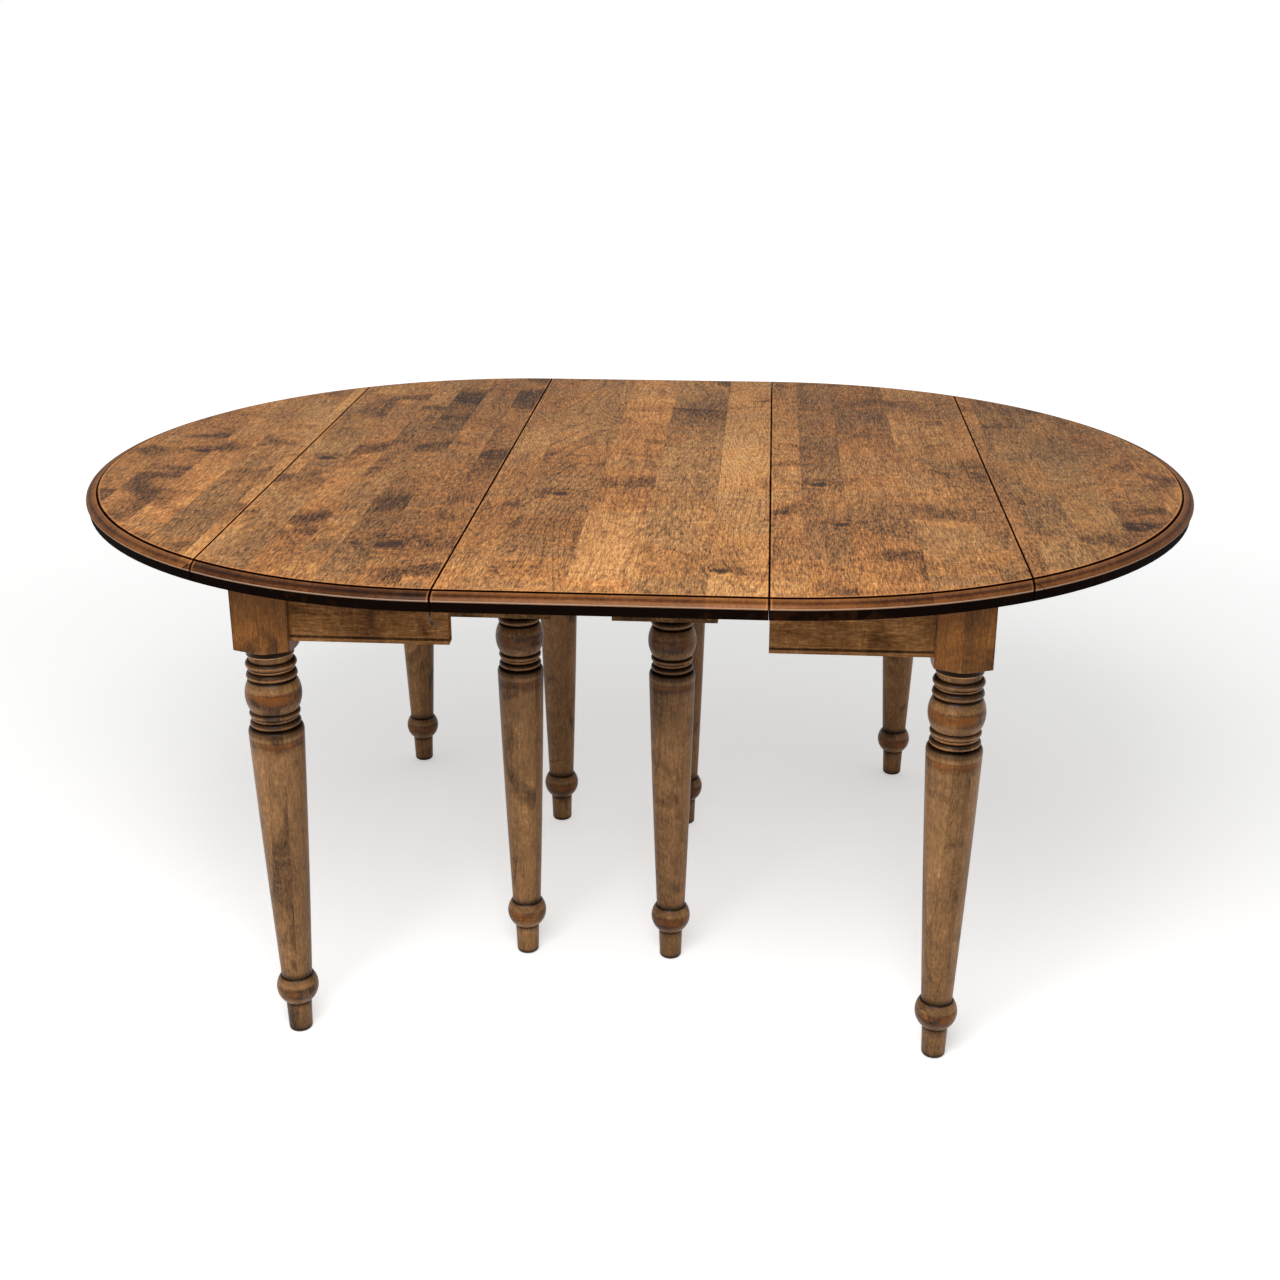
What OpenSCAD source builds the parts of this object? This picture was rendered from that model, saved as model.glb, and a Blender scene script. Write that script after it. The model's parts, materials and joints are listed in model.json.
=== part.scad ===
// Extending drop leaf table: two half frames that slide apart on wooden runners, a middle
// frame that carries the runners on four more turned legs, a loose centre leaf, and a
// hinged leaf at each round end.
// The origin is on the floor under the middle of the centre leaf.
// +X runs along the table to the right-hand leaf, +Y to its back, +Z up.

/* [Overall] */
// Height of the table top above the floor
table_h = 760; // [730:5:790]
// Radius of the round ends, which is half the depth of the table
top_r = 650; // [610:5:690]
// Thickness of every top board
top_t = 26; // [24:1:30]

/* [Top boards] */
// Space for the centre leaf between the two half tops
centre_w = 430; // [380:5:480]
// Width of a half top from its centre seam to its hinge line
half_w = 341; // [315:1:365]
// Open gap at the centre leaf's left seam
gap_left = 1.5; // [0.5:0.1:3]
// Open gap at the centre leaf's right seam
gap_right = 0.3; // [0.3:0.1:3]
// Open gap at each hinge line, seen from above
gap_hinge = 0.5; // [0.3:0.1:1.5]

/* [Edge moulding] */
// Width of the moulded border round the top
edge_w = 17; // [14:1:22]
// Height of the small step where the border meets the flat top
quirk_h = 1.6; // [1:0.1:2.5]
// Drop of the rounded border from the step to the arris
ovolo_h = 8.8; // [7:0.1:11]
// How far the band under the arris leans in at the bottom
band_lean = 3.5; // [2:0.1:6]
// Setback of the band just under the arris
arris_in = 1.4; // [1:0.1:1.9]

/* [Rule joint and hinges] */
// Square step at the top of the rule joint
rule_step = 4; // [3:0.5:6]
// Height of the hinge pin above the underside of the top
pin_up = 6; // [5.5:0.1:7]
// Clearance between the joint's round and its cove
rule_gap = 0.8; // [0.5:0.1:1.2]
// Length of a hinge along its pin
hinge_l = 44; // [40:1:60]
// Distance from the end of a hinge line in to the middle of its outer hinge
hinge_set_in = 153; // [120:1:250]
// Radius of the hinge knuckles
knuckle_r = 4; // [3.6:0.1:4.4]
// Radius of the hinge pins
hinge_pin_r = 1.6; // [1.2:0.1:2]
// Thickness of the hinge flaps
flap_t = 2; // [1.6:0.1:2.4]
// Width of the flap under a half top
flap_fixed_w = 22; // [18:1:30]
// Width of the flap under a drop leaf
flap_moving_w = 46; // [36:1:60]

/* [Legs] */
// Thickness of the square stock of the corner legs
leg_stock = 79; // [76:1:84]
// Distance from a hinge line in to the axis of a corner leg
leg_inset = 80; // [74:1:90]
// Distance from the front edge of the top in to the axis of a corner leg
leg_set_in = 162; // [155:1:175]
// Length of the square block at the top of a corner leg
block_h = 110; // [106:1:112]
// Greatest radius of a corner leg's taper
taper_r = 38.6; // [36:0.2:38.6]
// Radius at the foot of the taper, above the ankle
ankle_neck_r = 22.6; // [20:0.2:25]
// Greatest radius of the ball between the rings
ball_r = 39.2; // [38:0.1:39.4]
// Thickness of the square stock of the middle legs
mid_stock = 74; // [72:1:78]
// Greatest radius of a middle leg's taper
mid_taper_r = 35.4; // [33:0.2:36]
// Greatest radius of a middle leg's ball
mid_ball_r = 36.8; // [35:0.1:36.9]
// Radius of the ball at the ankle
ankle_r = 31; // [28:0.5:34]
// Height of the top of the ankle ball
ankle_top = 95; // [90:1:110]
// Height of the bottom of the ankle ball
ankle_bottom = 51; // [46:1:56]
// Radius of the foot where it meets the ankle ball
foot_r = 19; // [17:0.5:21]
// Radius of the foot near the floor
toe_r = 17.5; // [16:0.5:19]

/* [Turned rings] */
// Height of each round ring
ring_h = 11.5; // [11:0.5:14]
// Greatest radius of the rings
ring_r = 35; // [34:0.5:36]
// Radius at the bottom of the grooves between rings
groove_r = 30; // [29:0.1:32]
// Height of the square fillets under the rings
fillet_h = 1.5; // [1:0.1:2]
// Height of the ball
ball_h = 48; // [42:1:50]
// Height of the rounded crown of the taper
crown_h = 7; // [6:1:12]
// Height of the plain neck under the block
neck_h = 5.5; // [5:0.5:9]
// Height of the turned shoulder under the block
shoulder_h = 18; // [15:1:21]

/* [Aprons] */
// Height of the aprons
apron_h = 94; // [86:1:100]
// Thickness of the aprons
apron_t = 22; // [20:1:24]
// Setback of an apron's face from the face of the leg blocks
apron_setback = 8; // [5:1:10]
// Gap between a front or back apron's free end and the centre seam
apron_end = 2; // [1:1:6]
// Height of the bead along the bottom edge
bead_h = 6; // [5:0.5:8]
// Depth of the groove above the bead
bead_groove = 1.6; // [1:0.1:2.4]
// Length of the tenons
tenon_l = 24; // [18:1:28]
// Thickness of the tenons
tenon_t = 10; // [8:1:12]
// Cut-back of a tenon at its top and bottom
tenon_cut = 14; // [10:1:20]

/* [Runners] */
// Height of the runners
rail_h = 60; // [54:1:62]
// Width of each outer runner member
rail_w = 27; // [24:1:30]
// Width of the middle runner member
mid_rail_w = 30; // [28:1:34]
// Distance from the axis of a corner leg in to the middle of a runner set
rail_set_in = 158; // [154:1:168]
// Gap between a runner's outer end and the end apron
rail_end_gap = 10.5; // [8:0.5:16]
// Length still engaged when a half is pulled right out
rail_engage = 90; // [90:1:98]
// Height of the tongues
tongue_h = 12; // [10:1:14]
// Depth of the tongues
tongue_d = 8; // [6:0.5:9]
// Running clearance between runner members
rail_gap = 0.3; // [0.2:0.05:0.5]
// Distance from a middle member's end to its stop pin
stop_inset = 50; // [44:1:56]
// Radius of the stop pins
stop_r = 4; // [3:0.5:5]

/* [Middle frame] */
// Position of the middle frame along X, left of the middle when negative
mid_x = -45; // [-60:1:0]
// Distance from the frame's own middle to its legs, along X
mid_leg_x = 117; // [112:1:125]
// Distance from the middle of a runner set in to the axes of the middle legs
mid_leg_set_in = 90; // [80:1:110]
// Width of each cross board
board_w = 148; // [130:1:156]
// Reach of a cross board past the middle of a runner set
board_over = 110; // [90:1:130]
// Thickness of the cross boards
board_t = 22; // [20:1:24]

/* [Leaf props] */
// Distance from a hinge line in to the prop's pivot
prop_in = 31; // [29:1:32]
// Height of the prop's pivot below the hinge pin
prop_drop = 85; // [80:1:88]
// Angle of a prop above the horizontal when its leaf is up
prop_angle = 36; // [30:1:45]
// Width of a prop, which is also the width across its round ends
prop_w = 18; // [16:1:20]
// Thickness of a prop along its pivot
prop_t = 22; // [18:1:26]
// Gap between a raised prop and the leaf
prop_gap = 0.3; // [0.2:0.05:0.5]
// Radius of the prop pivots
prop_pin_r = 3; // [2.5:0.5:4]

/* [Leaf hook] */
// Distance from the left seam to the hook's eye
hook_in = 12; // [11:1:16]
// Distance from the front edge of the top in to the hook
hook_set_in = 62; // [50:1:80]
// Length of the hook's shank
hook_l = 22; // [18:1:26]
// Radius of the hook's wire
hook_wire = 1.2; // [1:0.1:1.4]

/* [Hidden] */

// Colours
wood_top = [0.66, 0.47, 0.31];
wood_leaf = [0.72, 0.50, 0.32];
wood_leg = [0.44, 0.31, 0.20];
wood_apron = [0.42, 0.29, 0.17];
wood_inner = [0.70, 0.57, 0.40];
steel = [0.55, 0.54, 0.52];
brass = [0.60, 0.48, 0.28];

// Steps in each moulded curve, and how finely whole circles are drawn
curve_steps = 8;
round_fn = 96;
small_fn = 32;
// Overrun of every cut past the face it starts from, and the fit of glued or driven parts
cut = 1;
fit = 0.1;

// Levels and lines that the boards share
under = table_h - top_t;
seam_x = centre_w / 2;
hinge_x = seam_x + half_w;
pin_z = under + pin_up;
rule_r = top_t - rule_step - pin_up;
arris_z = table_h - quirk_h - ovolo_h;
leg_x = hinge_x - leg_inset;
leg_y = top_r - leg_set_in;
leg_half = leg_stock / 2;
block_z = under - block_h;
apron_z = under - apron_h;
apron_face_x = leg_x + leg_half - apron_setback;
apron_face_y = leg_y + leg_half - apron_setback;
rail_z = under - rail_h;
rail_y = leg_y - rail_set_in;
board_z = rail_z - board_t;
board_end = rail_y + board_over;
mid_leg_y = rail_y - mid_leg_set_in;

// Runners: as long as the half frame holds, with their middle under the centre seam. Closed, the
// two halves meet over the middle frame, and each can then be pulled out as far as its stops
rail_reach = apron_face_x - apron_t - rail_end_gap - seam_x;
rail_l = 2 * rail_reach;
tongue_z = rail_z + (rail_h - tongue_h) / 2;
stop_z = rail_z + 14;
stop_near = rail_engage - stop_inset;
stop_far = stop_near + rail_l - rail_engage;
stop_bite = 12;
stop_proud = 8;
stop_gap = 0.4;

// Hinges, spread along the straight part of the hinge line and measured from the pin
hinge_spread = sqrt(pow(top_r, 2) - pow(half_w, 2)) - hinge_set_in;
flap_relief = 8;
knuckle_gap = 0.3;
knuckle_l = 14;
bore_gap = 0.05;
mortise_gap = 0.3;
flap_screw_r = 1.7;
flap_head_r = 3.4;
flap_screw_l = 13;
fixed_holes = [[-19, -14], [-19, 14]];
moving_holes = [[28, -14], [28, 14], [46, 0]];

// Wood screws and bolts
screw_r = 2.5;
screw_head_r = 4.5;
screw_head_h = 3;
sink_r = 5.5;
rail_screw_sink = 14;
rail_screw_l = 58;
rail_screw_x = [for (share = [0.12, 0.48, 0.85]) share * rail_reach];
board_screw_l = 52;
board_screw_x = 40;
leg_screw_r = 3;
leg_screw_head_r = 5.4;
leg_screw_l = 44;
leg_screw_x = 18;
bolt_r = 4;
bolt_l = 64;
bolt_bite = 34;
bolt_drop = 40;
nut_r = 8;
nut_h = 6;
brace_t = 22;
brace_h = 60;
glue_w = 24;
glue_h = 56;
glue_chamfer = 5;
glue_places = [0.14, 0.5];

// Prop pivots, each halfway between two hinges
prop_y = hinge_spread / 2;
prop_x = hinge_x - prop_in;
prop_z = pin_z - prop_drop;
prop_reach = (under - prop_gap - prop_w / 2 - prop_z) / sin(prop_angle);
bracket_t = 3;
bracket_side_gap = 0.3;
bracket_h = 34;
bracket_foot = 14;
bracket_ear_r = 9;
bracket_screw_r = 2;
bracket_screw_head_r = 3.6;
bracket_screw_l = 16;

// Screw eyes of the leaf hook
eye_r = 4.5;
eye_wire = 1.3;
eye_shank_l = 14;
eye_drop = 6;
hook_ring_r = eye_wire + hook_wire + 0.3;
hook_bend_r = 3.2;
hook_y = top_r - hook_set_in;
hook_eye_x = -seam_x - hook_in;
hook_eye_z = under - eye_drop;
catch_x = hook_eye_x + hook_ring_r + hook_l + 8;

// ---- placing ----

module left_side() mirror([1, 0, 0]) children();
module back_side() mirror([0, 1, 0]) children();
module front_and_back() { children(); back_side() children(); }
module along_y(y0) translate([0, y0, 0]) rotate([-90, 0, 0]) children();

// A cylinder along Y from y0, centred on x and z
module rod_y(x, z, r, y0, length, fn = small_fn)
    translate([x, 0, z]) along_y(y0) cylinder(r = r, h = length, $fn = fn);

// ---- turned legs ----

// A half-round ring between two heights
function ring(z0, z1, r_in, r_out) = [for (i = [0 : curve_steps]) let (a = 180 * i / curve_steps)
    [r_in + (r_out - r_in) * sin(a), (z0 + z1) / 2 - (z1 - z0) / 2 * cos(a)]];

// A ball cut off flat at both ends
function ball(z0, z1, r0, r1, r_mid) = let (a0 = acos(r0 / r_mid), a1 = acos(r1 / r_mid),
    v = (z1 - z0) / (sin(a0) + sin(a1)), zc = z0 + v * sin(a0))
    [for (i = [0 : 2 * curve_steps]) let (a = -a0 + (a0 + a1) * i / (2 * curve_steps))
        [r_mid * cos(a), zc + v * sin(a)]];

// The quarter-round crown at the head of the taper
function crown(z0, r0, z1, r1) = [for (i = [0 : curve_steps]) let (a = 90 * i / curve_steps)
    [r1 + (r0 - r1) * cos(a), z0 + (z1 - z0) * sin(a)]];

// The taper, with a slight swelling so that it doesn't look hollow
function taper(z0, r0, z1, r1) = [for (i = [0 : curve_steps]) let (t = i / curve_steps)
    [r0 + (r1 - r0) * t + 0.8 * sin(180 * t), z0 + (z1 - z0) * t]];

// The foot, with a rounded toe
toe_round = 5;
function toe() = [for (i = [0 : curve_steps / 2]) let (a = 180 * i / curve_steps)
    [toe_r - toe_round * (1 - sin(a)), toe_round * (1 - cos(a))]];

// Whole turned outline of a leg, from the floor up to the block at full corner radius
function leg_outline(stock, top_z, r_taper, r_ball) = let (
    slim = r_taper / taper_r,
    z1 = block_z - shoulder_h,
    z2 = z1 - neck_h,
    z3 = z2 - ring_h,
    z4 = z3 - fillet_h,
    z5 = z4 - ring_h,
    z6 = z5 - fillet_h,
    z7 = z6 - ball_h,
    z8 = z7 - ring_h,
    z9 = z8 - fillet_h,
    z10 = z9 - ring_h,
    z11 = z10 - fillet_h,
    z12 = z11 - crown_h,
    g = groove_r * slim,
    r = ring_r * slim,
    f = g + 1.4,
    h = stock / 2,
    wide = stock * 0.72)
    concat([[0, 0]], toe(), [[foot_r, ankle_bottom]],
        ball(ankle_bottom, ankle_top, foot_r + 1, ankle_neck_r + 0.6, ankle_r),
        taper(ankle_top, ankle_neck_r, z12, r_taper),
        crown(z12, r_taper, z11, r), [[f, z11], [f, z10]],
        ring(z10, z9, g, r), [[f, z9], [f, z8]],
        ring(z8, z7, g, r),
        ball(z7, z6, g + 1.2, g + 1.2, r_ball),
        [[f, z6], [f, z5]],
        ring(z5, z4, g, r), [[f, z4], [f, z3]],
        ring(z3, z2, g, r),
        [[g - 1, z2 + 1], [g - 1, z1], [f + 0.8, z1], [f + 0.8, z1 + 2]],
        [[h - 3, z1 + 6], [h + 0.5, block_z - 7], [h + 5, block_z - 3.5], [wide, block_z]],
        [[wide, top_z], [0, top_z]]);

// A leg standing on the origin, square above the shoulder
module turned_leg(stock, top_z, r_taper, r_ball)
    intersection() {
        rotate_extrude($fn = round_fn) polygon(leg_outline(stock, top_z, r_taper, r_ball));
        union() {
            cylinder(r = stock, h = block_z - shoulder_h, $fn = round_fn);
            translate([-stock / 2, -stock / 2, block_z - shoulder_h - cut])
                cube([stock, stock, top_z]);
        }
    }

// ---- top boards ----

// Moulded edge of a board whose arris is at distance r
function moulded_edge(r) = concat(
    [[r - band_lean, under], [r - arris_in, arris_z - 1], [r, arris_z]],
    [for (i = [1 : curve_steps]) let (a = 90 * i / curve_steps)
        [r - edge_w + edge_w * cos(a), arris_z + ovolo_h * sin(a)]],
    [[r - edge_w, table_h]]);

// Whole round blank that a half top and its leaf are sawn from
module round_blank()
    translate([seam_x, 0, 0]) rotate_extrude($fn = round_fn * 2)
        polygon(concat([[0, under]], moulded_edge(top_r), [[0, table_h]]));

// Slab of the blank between two distances from the middle
module slab(x0, x1)
    translate([x0, -top_r - cut, under]) cube([x1 - x0, 2 * (top_r + cut), top_t]);

module hinge_places() for (s = [-1 : 1]) translate([hinge_x, s * hinge_spread, pin_z]) children();

// Countersunk screw from below, its head flush with z = 0, or its hole with some clearance
module flap_screw(clear = 0) {
    cylinder(r1 = flap_head_r + clear, r2 = flap_screw_r + clear, h = flap_t, $fn = small_fn);
    cylinder(r = flap_screw_r + clear, h = flap_screw_l + clear, $fn = small_fn);
}

module flap_screws(holes, clear = 0)
    for (h = holes) translate([h[0], h[1], -pin_up]) flap_screw(clear);

// Room for a hinge in the half top: knuckles, swinging strap and the fixed flap's recess
module hinge_mortise() {
    half = hinge_l / 2 + mortise_gap;
    rod_y(0, 0, flap_relief - mortise_gap, -half, 2 * half);
    translate([-flap_relief - mortise_gap, -half, -pin_up - cut])
        cube([flap_relief + mortise_gap + rule_r + cut, 2 * half, flap_t + mortise_gap + cut]);
    translate([-flap_relief - flap_fixed_w - mortise_gap, -half, -pin_up - cut])
        cube([flap_fixed_w + cut, 2 * half, flap_t + cut]);
}

module half_top_wood()
    difference() {
        intersection() {
            round_blank();
            union() {
                slab(seam_x, hinge_x);
                intersection() {
                    rod_y(hinge_x, pin_z, rule_r, -top_r, 2 * top_r, round_fn);
                    slab(hinge_x - cut, hinge_x + rule_r);
                }
            }
        }
        hinge_places() {
            hinge_mortise();
            flap_screws(fixed_holes, bore_gap);
        }
    }

module drop_leaf_wood()
    difference() {
        intersection() {
            round_blank();
            slab(hinge_x + gap_hinge, seam_x + top_r);
        }
        rod_y(hinge_x, pin_z, rule_r + rule_gap, -top_r, 2 * top_r, round_fn);
        hinge_places() {
            translate([rule_r / 2, -hinge_l / 2 - mortise_gap, -pin_up - cut])
                cube([flap_relief + flap_moving_w + mortise_gap - rule_r / 2,
                    hinge_l + 2 * mortise_gap, flap_t + cut]);
            flap_screws(moving_holes, bore_gap);
        }
    }

// ---- hinges ----

module knuckle(y0, length, side) {
    rod_y(0, 0, knuckle_r, y0, length);
    translate([min(0, side * knuckle_r), y0, -pin_up]) cube([knuckle_r, length, pin_up]);
    translate([min(0, side * flap_relief), y0, -pin_up]) cube([flap_relief, length, flap_t]);
}

module pin_bore() rod_y(0, 0, hinge_pin_r + bore_gap, -hinge_l, 2 * hinge_l);

module fixed_flap()
    difference() {
        union() {
            translate([-flap_relief - flap_fixed_w, -hinge_l / 2, -pin_up])
                cube([flap_fixed_w, hinge_l, flap_t]);
            for (y = [-hinge_l / 2, hinge_l / 2 - knuckle_l]) knuckle(y, knuckle_l, -1);
        }
        pin_bore();
        flap_screws(fixed_holes, bore_gap);
    }

module moving_flap() {
    strap = hinge_l / 2 - knuckle_l - knuckle_gap;
    difference() {
        union() {
            translate([flap_relief, -hinge_l / 2, -pin_up])
                cube([flap_moving_w, hinge_l, flap_t]);
            knuckle(-strap, 2 * strap, 1);
        }
        pin_bore();
        flap_screws(moving_holes, bore_gap);
    }
}

// ---- aprons ----

// Section of an apron, outer face on y = 0 and inner face on y = apron_t
apron_section = concat(
    [[apron_t, apron_z], [apron_t, under], [0, under], [0, apron_z + bead_h + 5],
        [bead_groove, apron_z + bead_h + 3.5], [bead_groove, apron_z + bead_h]],
    [for (i = [0 : curve_steps]) let (a = 180 * i / curve_steps)
        [bead_h / 4 * (1 - sin(a)), apron_z + bead_h / 2 * (1 + cos(a))]]);

// An apron along +X from the origin, facing -Y
module apron_board(length)
    rotate([90, 0, 90]) linear_extrude(height = length) polygon(apron_section);

// A tenon standing out along +X from the origin, or its mortise with some clearance
module apron_tenon(clear = 0)
    translate([-clear, (apron_t - tenon_t) / 2 - clear, apron_z + tenon_cut - clear])
        cube([tenon_l + 2 * clear, tenon_t + 2 * clear, apron_h - 2 * tenon_cut + 2 * clear]);

module at_front_apron(x) translate([x, -apron_face_y, 0]) children();
module at_end_apron(y) translate([apron_face_x, y, 0]) rotate([0, 0, 90]) children();

module front_apron_wood()
    at_front_apron(seam_x + apron_end) {
        span = leg_x - leg_half - seam_x - apron_end;
        apron_board(span);
        translate([span, 0, 0]) apron_tenon();
    }

module end_apron_wood()
    difference() {
        union() {
            at_end_apron(-leg_y + leg_half) apron_board(2 * (leg_y - leg_half));
            front_and_back() at_end_apron(leg_y - leg_half) apron_tenon();
        }
        front_and_back() prop_screw_places() bracket_screw(bore_gap);
    }

// ---- corner leg, braces and bolts ----

// Inner corner of the front right leg block, where brace and bolt meet it on the diagonal
module at_leg_corner()
    translate([leg_x - leg_half, -leg_y + leg_half, under - bolt_drop]) rotate([0, 0, -45]) children();

module leg_bolt(clear = 0)
    at_leg_corner() translate([bolt_bite - bolt_l - clear, 0, 0]) rotate([0, 90, 0])
        cylinder(r = bolt_r + clear, h = bolt_l + 2 * clear, $fn = small_fn);

module bolt_nut()
    difference() {
        at_leg_corner() translate([-brace_t - nut_h, 0, 0]) rotate([0, 90, 0]) {
            cylinder(r = nut_r, h = nut_h - 1.5, $fn = 6);
            translate([0, 0, nut_h - 1.5]) cylinder(r = nut_r + 1, h = 1.5, $fn = small_fn);
        }
        leg_bolt(bore_gap);
    }

// A brace across the corner, from the front apron to the end apron
module corner_brace() {
    inner_x = apron_face_x - apron_t;
    inner_y = -apron_face_y + apron_t;
    diagonal = -leg_y + leg_half - (leg_x - leg_half);
    thick = brace_t * sqrt(2);
    difference() {
        translate([0, 0, under - brace_h]) linear_extrude(height = brace_h) polygon([
            [inner_y - diagonal, inner_y], [inner_x, inner_x + diagonal],
            [inner_x, inner_x + diagonal + thick], [inner_y - diagonal - thick, inner_y]]);
        leg_bolt(bore_gap);
    }
}

module corner_leg_wood()
    difference() {
        translate([leg_x, -leg_y, 0]) turned_leg(leg_stock, under, taper_r, ball_r);
        at_front_apron(leg_x - leg_half) apron_tenon(fit);
        back_side() at_end_apron(leg_y - leg_half) apron_tenon(fit);
        leg_bolt(bore_gap);
    }

// Blocks glued in the angle of apron and top
module glue_block_set() {
    front_and_back() for (share = glue_places)
        translate([seam_x + share * (leg_x - leg_half - seam_x), -apron_face_y + apron_t, under - glue_h])
            glue_block();
    for (y = [-prop_y * 0.4, prop_y * 0.4])
        translate([apron_face_x - apron_t, y, under - glue_h]) rotate([0, 0, 90]) glue_block();
}

module glue_block()
    linear_extrude(height = glue_h)
        polygon([[-glue_w / 2, 0], [glue_w / 2, 0], [glue_w / 2, glue_w - glue_chamfer],
            [glue_w / 2 - glue_chamfer, glue_w], [glue_chamfer - glue_w / 2, glue_w],
            [-glue_w / 2, glue_w - glue_chamfer]]);

// ---- runners ----

// Outer runner member along +X, sliding face on y = 0 and tongue towards +Y
module runner_member()
    difference() {
        union() {
            translate([0, -rail_w, rail_z]) cube([rail_l, rail_w, rail_h]);
            translate([0, -cut, tongue_z]) cube([rail_l, tongue_d + cut, tongue_h]);
        }
        translate([stop_near, -stop_proud - stop_gap, stop_z - stop_r - stop_gap])
            cube([stop_far - stop_near, stop_proud + stop_gap + cut, 2 * (stop_r + stop_gap)]);
        for (x = [stop_near, stop_far])
            rod_y(x, stop_z, stop_r + stop_gap, -stop_proud - stop_gap, stop_proud + stop_gap + cut);
        rail_screw_places() rail_screw(bore_gap);
        rail_screw_places() translate([0, 0, -cut])
            cylinder(r = sink_r, h = rail_screw_sink + cut, $fn = small_fn);
    }

module rail_screw_places()
    for (x = rail_screw_x) translate([rail_reach + x, -rail_w / 2, rail_z]) children();

module rail_screw(clear = 0)
    translate([0, 0, rail_screw_sink]) {
        cylinder(r = screw_head_r + clear, h = screw_head_h, $fn = small_fn);
        cylinder(r = screw_r + clear, h = rail_screw_l + clear, $fn = small_fn);
    }

// The left half's members run outside the middle ones, the right half's inside
module left_runner_place()
    left_side() translate([seam_x - rail_reach, -rail_y - mid_rail_w / 2 - rail_gap, 0]) children();

module right_runner_place()
    translate([seam_x - rail_reach, -rail_y + mid_rail_w / 2 + rail_gap, 0])
        mirror([0, 1, 0]) children();

module middle_member()
    difference() {
        translate([mid_x - rail_l / 2, -rail_y - mid_rail_w / 2, rail_z])
            cube([rail_l, mid_rail_w, rail_h]);
        for (s = [-1, 1]) translate([mid_x - rail_l / 2 - cut,
                -rail_y + s * (mid_rail_w / 2 - (tongue_d + cut) / 2 + cut / 2) - (tongue_d + cut) / 2,
                tongue_z - rail_gap])
            cube([rail_l + 2 * cut, tongue_d + cut, tongue_h + 2 * rail_gap]);
        stop_pin_pair(bore_gap);
        board_screw_places() board_screw(bore_gap);
    }

// Left stop pin stands out to the front of a front set, right one to its back
module stop_pin_pair(clear = 0)
    for (s = [-1, 1])
        rod_y(mid_x + s * (rail_l / 2 - stop_inset), stop_z, stop_r + clear,
            -rail_y + s * (mid_rail_w / 2) - (s < 0 ? stop_proud : stop_bite) - clear,
            stop_proud + stop_bite + 2 * clear);

module board_screw_places()
    for (b = [-1, 1]) for (s = [-1, 1])
        translate([mid_x + b * mid_leg_x + s * board_screw_x, -rail_y, board_z]) children();

module board_screw(clear = 0) {
    cylinder(r1 = screw_head_r + clear, r2 = screw_r + clear, h = screw_head_h, $fn = small_fn);
    cylinder(r = screw_r + clear, h = board_screw_l + clear, $fn = small_fn);
}

// ---- middle frame ----

module leg_screw_places()
    for (s = [-1, 1]) translate([s * leg_screw_x, 0, rail_z]) mirror([0, 0, 1]) children();

module leg_screw(clear = 0) {
    cylinder(r1 = leg_screw_head_r + clear, r2 = leg_screw_r + clear, h = 4, $fn = small_fn);
    cylinder(r = leg_screw_r + clear, h = leg_screw_l + clear, $fn = small_fn);
}

// side is -1 for the left board and legs, 1 for the right
module middle_leg_place(side, end)
    translate([mid_x + side * mid_leg_x, end * mid_leg_y, 0]) children();

module cross_board(side)
    difference() {
        translate([mid_x + side * mid_leg_x - board_w / 2, -board_end, board_z])
            cube([board_w, 2 * board_end, board_t]);
        for (end = [-1, 1]) middle_leg_place(side, end) leg_screw_places() leg_screw(bore_gap);
        front_and_back() board_screw_places() board_screw(bore_gap);
    }

module middle_leg(side, end)
    color(wood_leg) middle_leg_place(side, end) difference() {
        turned_leg(mid_stock, board_z, mid_taper_r, mid_ball_r);
        leg_screw_places() leg_screw(bore_gap);
    }

// ---- leaf props ----

module prop_arm()
    difference() {
        translate([prop_x, 0, prop_z]) rotate([0, -prop_angle, 0]) {
            rod_y(0, 0, prop_w / 2, -prop_t / 2, prop_t);
            rod_y(prop_reach, 0, prop_w / 2, -prop_t / 2, prop_t);
            translate([0, -prop_t / 2, -prop_w / 2]) cube([prop_reach, prop_t, prop_w]);
        }
        rod_y(prop_x, prop_z, prop_pin_r + bore_gap, -prop_t, 2 * prop_t);
    }

module prop_bracket() {
    ear_y = prop_t / 2 + bracket_side_gap;
    wide = ear_y + bracket_t + bracket_foot;
    low = prop_z - bracket_h / 2;
    difference() {
        union() {
            translate([apron_face_x, -wide, low]) cube([bracket_t, 2 * wide, bracket_h]);
            for (y = [-ear_y - bracket_t, ear_y]) {
                translate([apron_face_x, y, prop_z - bracket_ear_r])
                    cube([prop_x - apron_face_x, bracket_t, 2 * bracket_ear_r]);
                rod_y(prop_x, prop_z, bracket_ear_r, y, bracket_t);
            }
        }
        rod_y(prop_x, prop_z, prop_pin_r + bore_gap, -wide, 2 * wide);
        prop_screw_row() bracket_screw(bore_gap);
    }
}

module prop_pin() {
    half = prop_t / 2 + bracket_side_gap + bracket_t + 1;
    rod_y(prop_x, prop_z, prop_pin_r, -half, 2 * half);
    for (y = [-half - 2, half]) rod_y(prop_x, prop_z, prop_pin_r + 2, y, 2);
}

// Screw places of one bracket at the middle of the table, and of the front one in place
module prop_screw_row() {
    foot_y = prop_t / 2 + bracket_side_gap + bracket_t + bracket_foot / 2;
    for (y = [-foot_y, foot_y]) for (z = [1, 10])
        translate([apron_face_x + bracket_t, y, prop_z + z]) rotate([0, -90, 0]) children();
}
module prop_screw_places() translate([0, -prop_y, 0]) prop_screw_row() children();

module bracket_screw(clear = 0) {
    cylinder(r1 = bracket_screw_head_r + clear, r2 = bracket_screw_r + clear, h = 2, $fn = small_fn);
    cylinder(r = bracket_screw_r + clear, h = bracket_screw_l + clear, $fn = small_fn);
}

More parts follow.
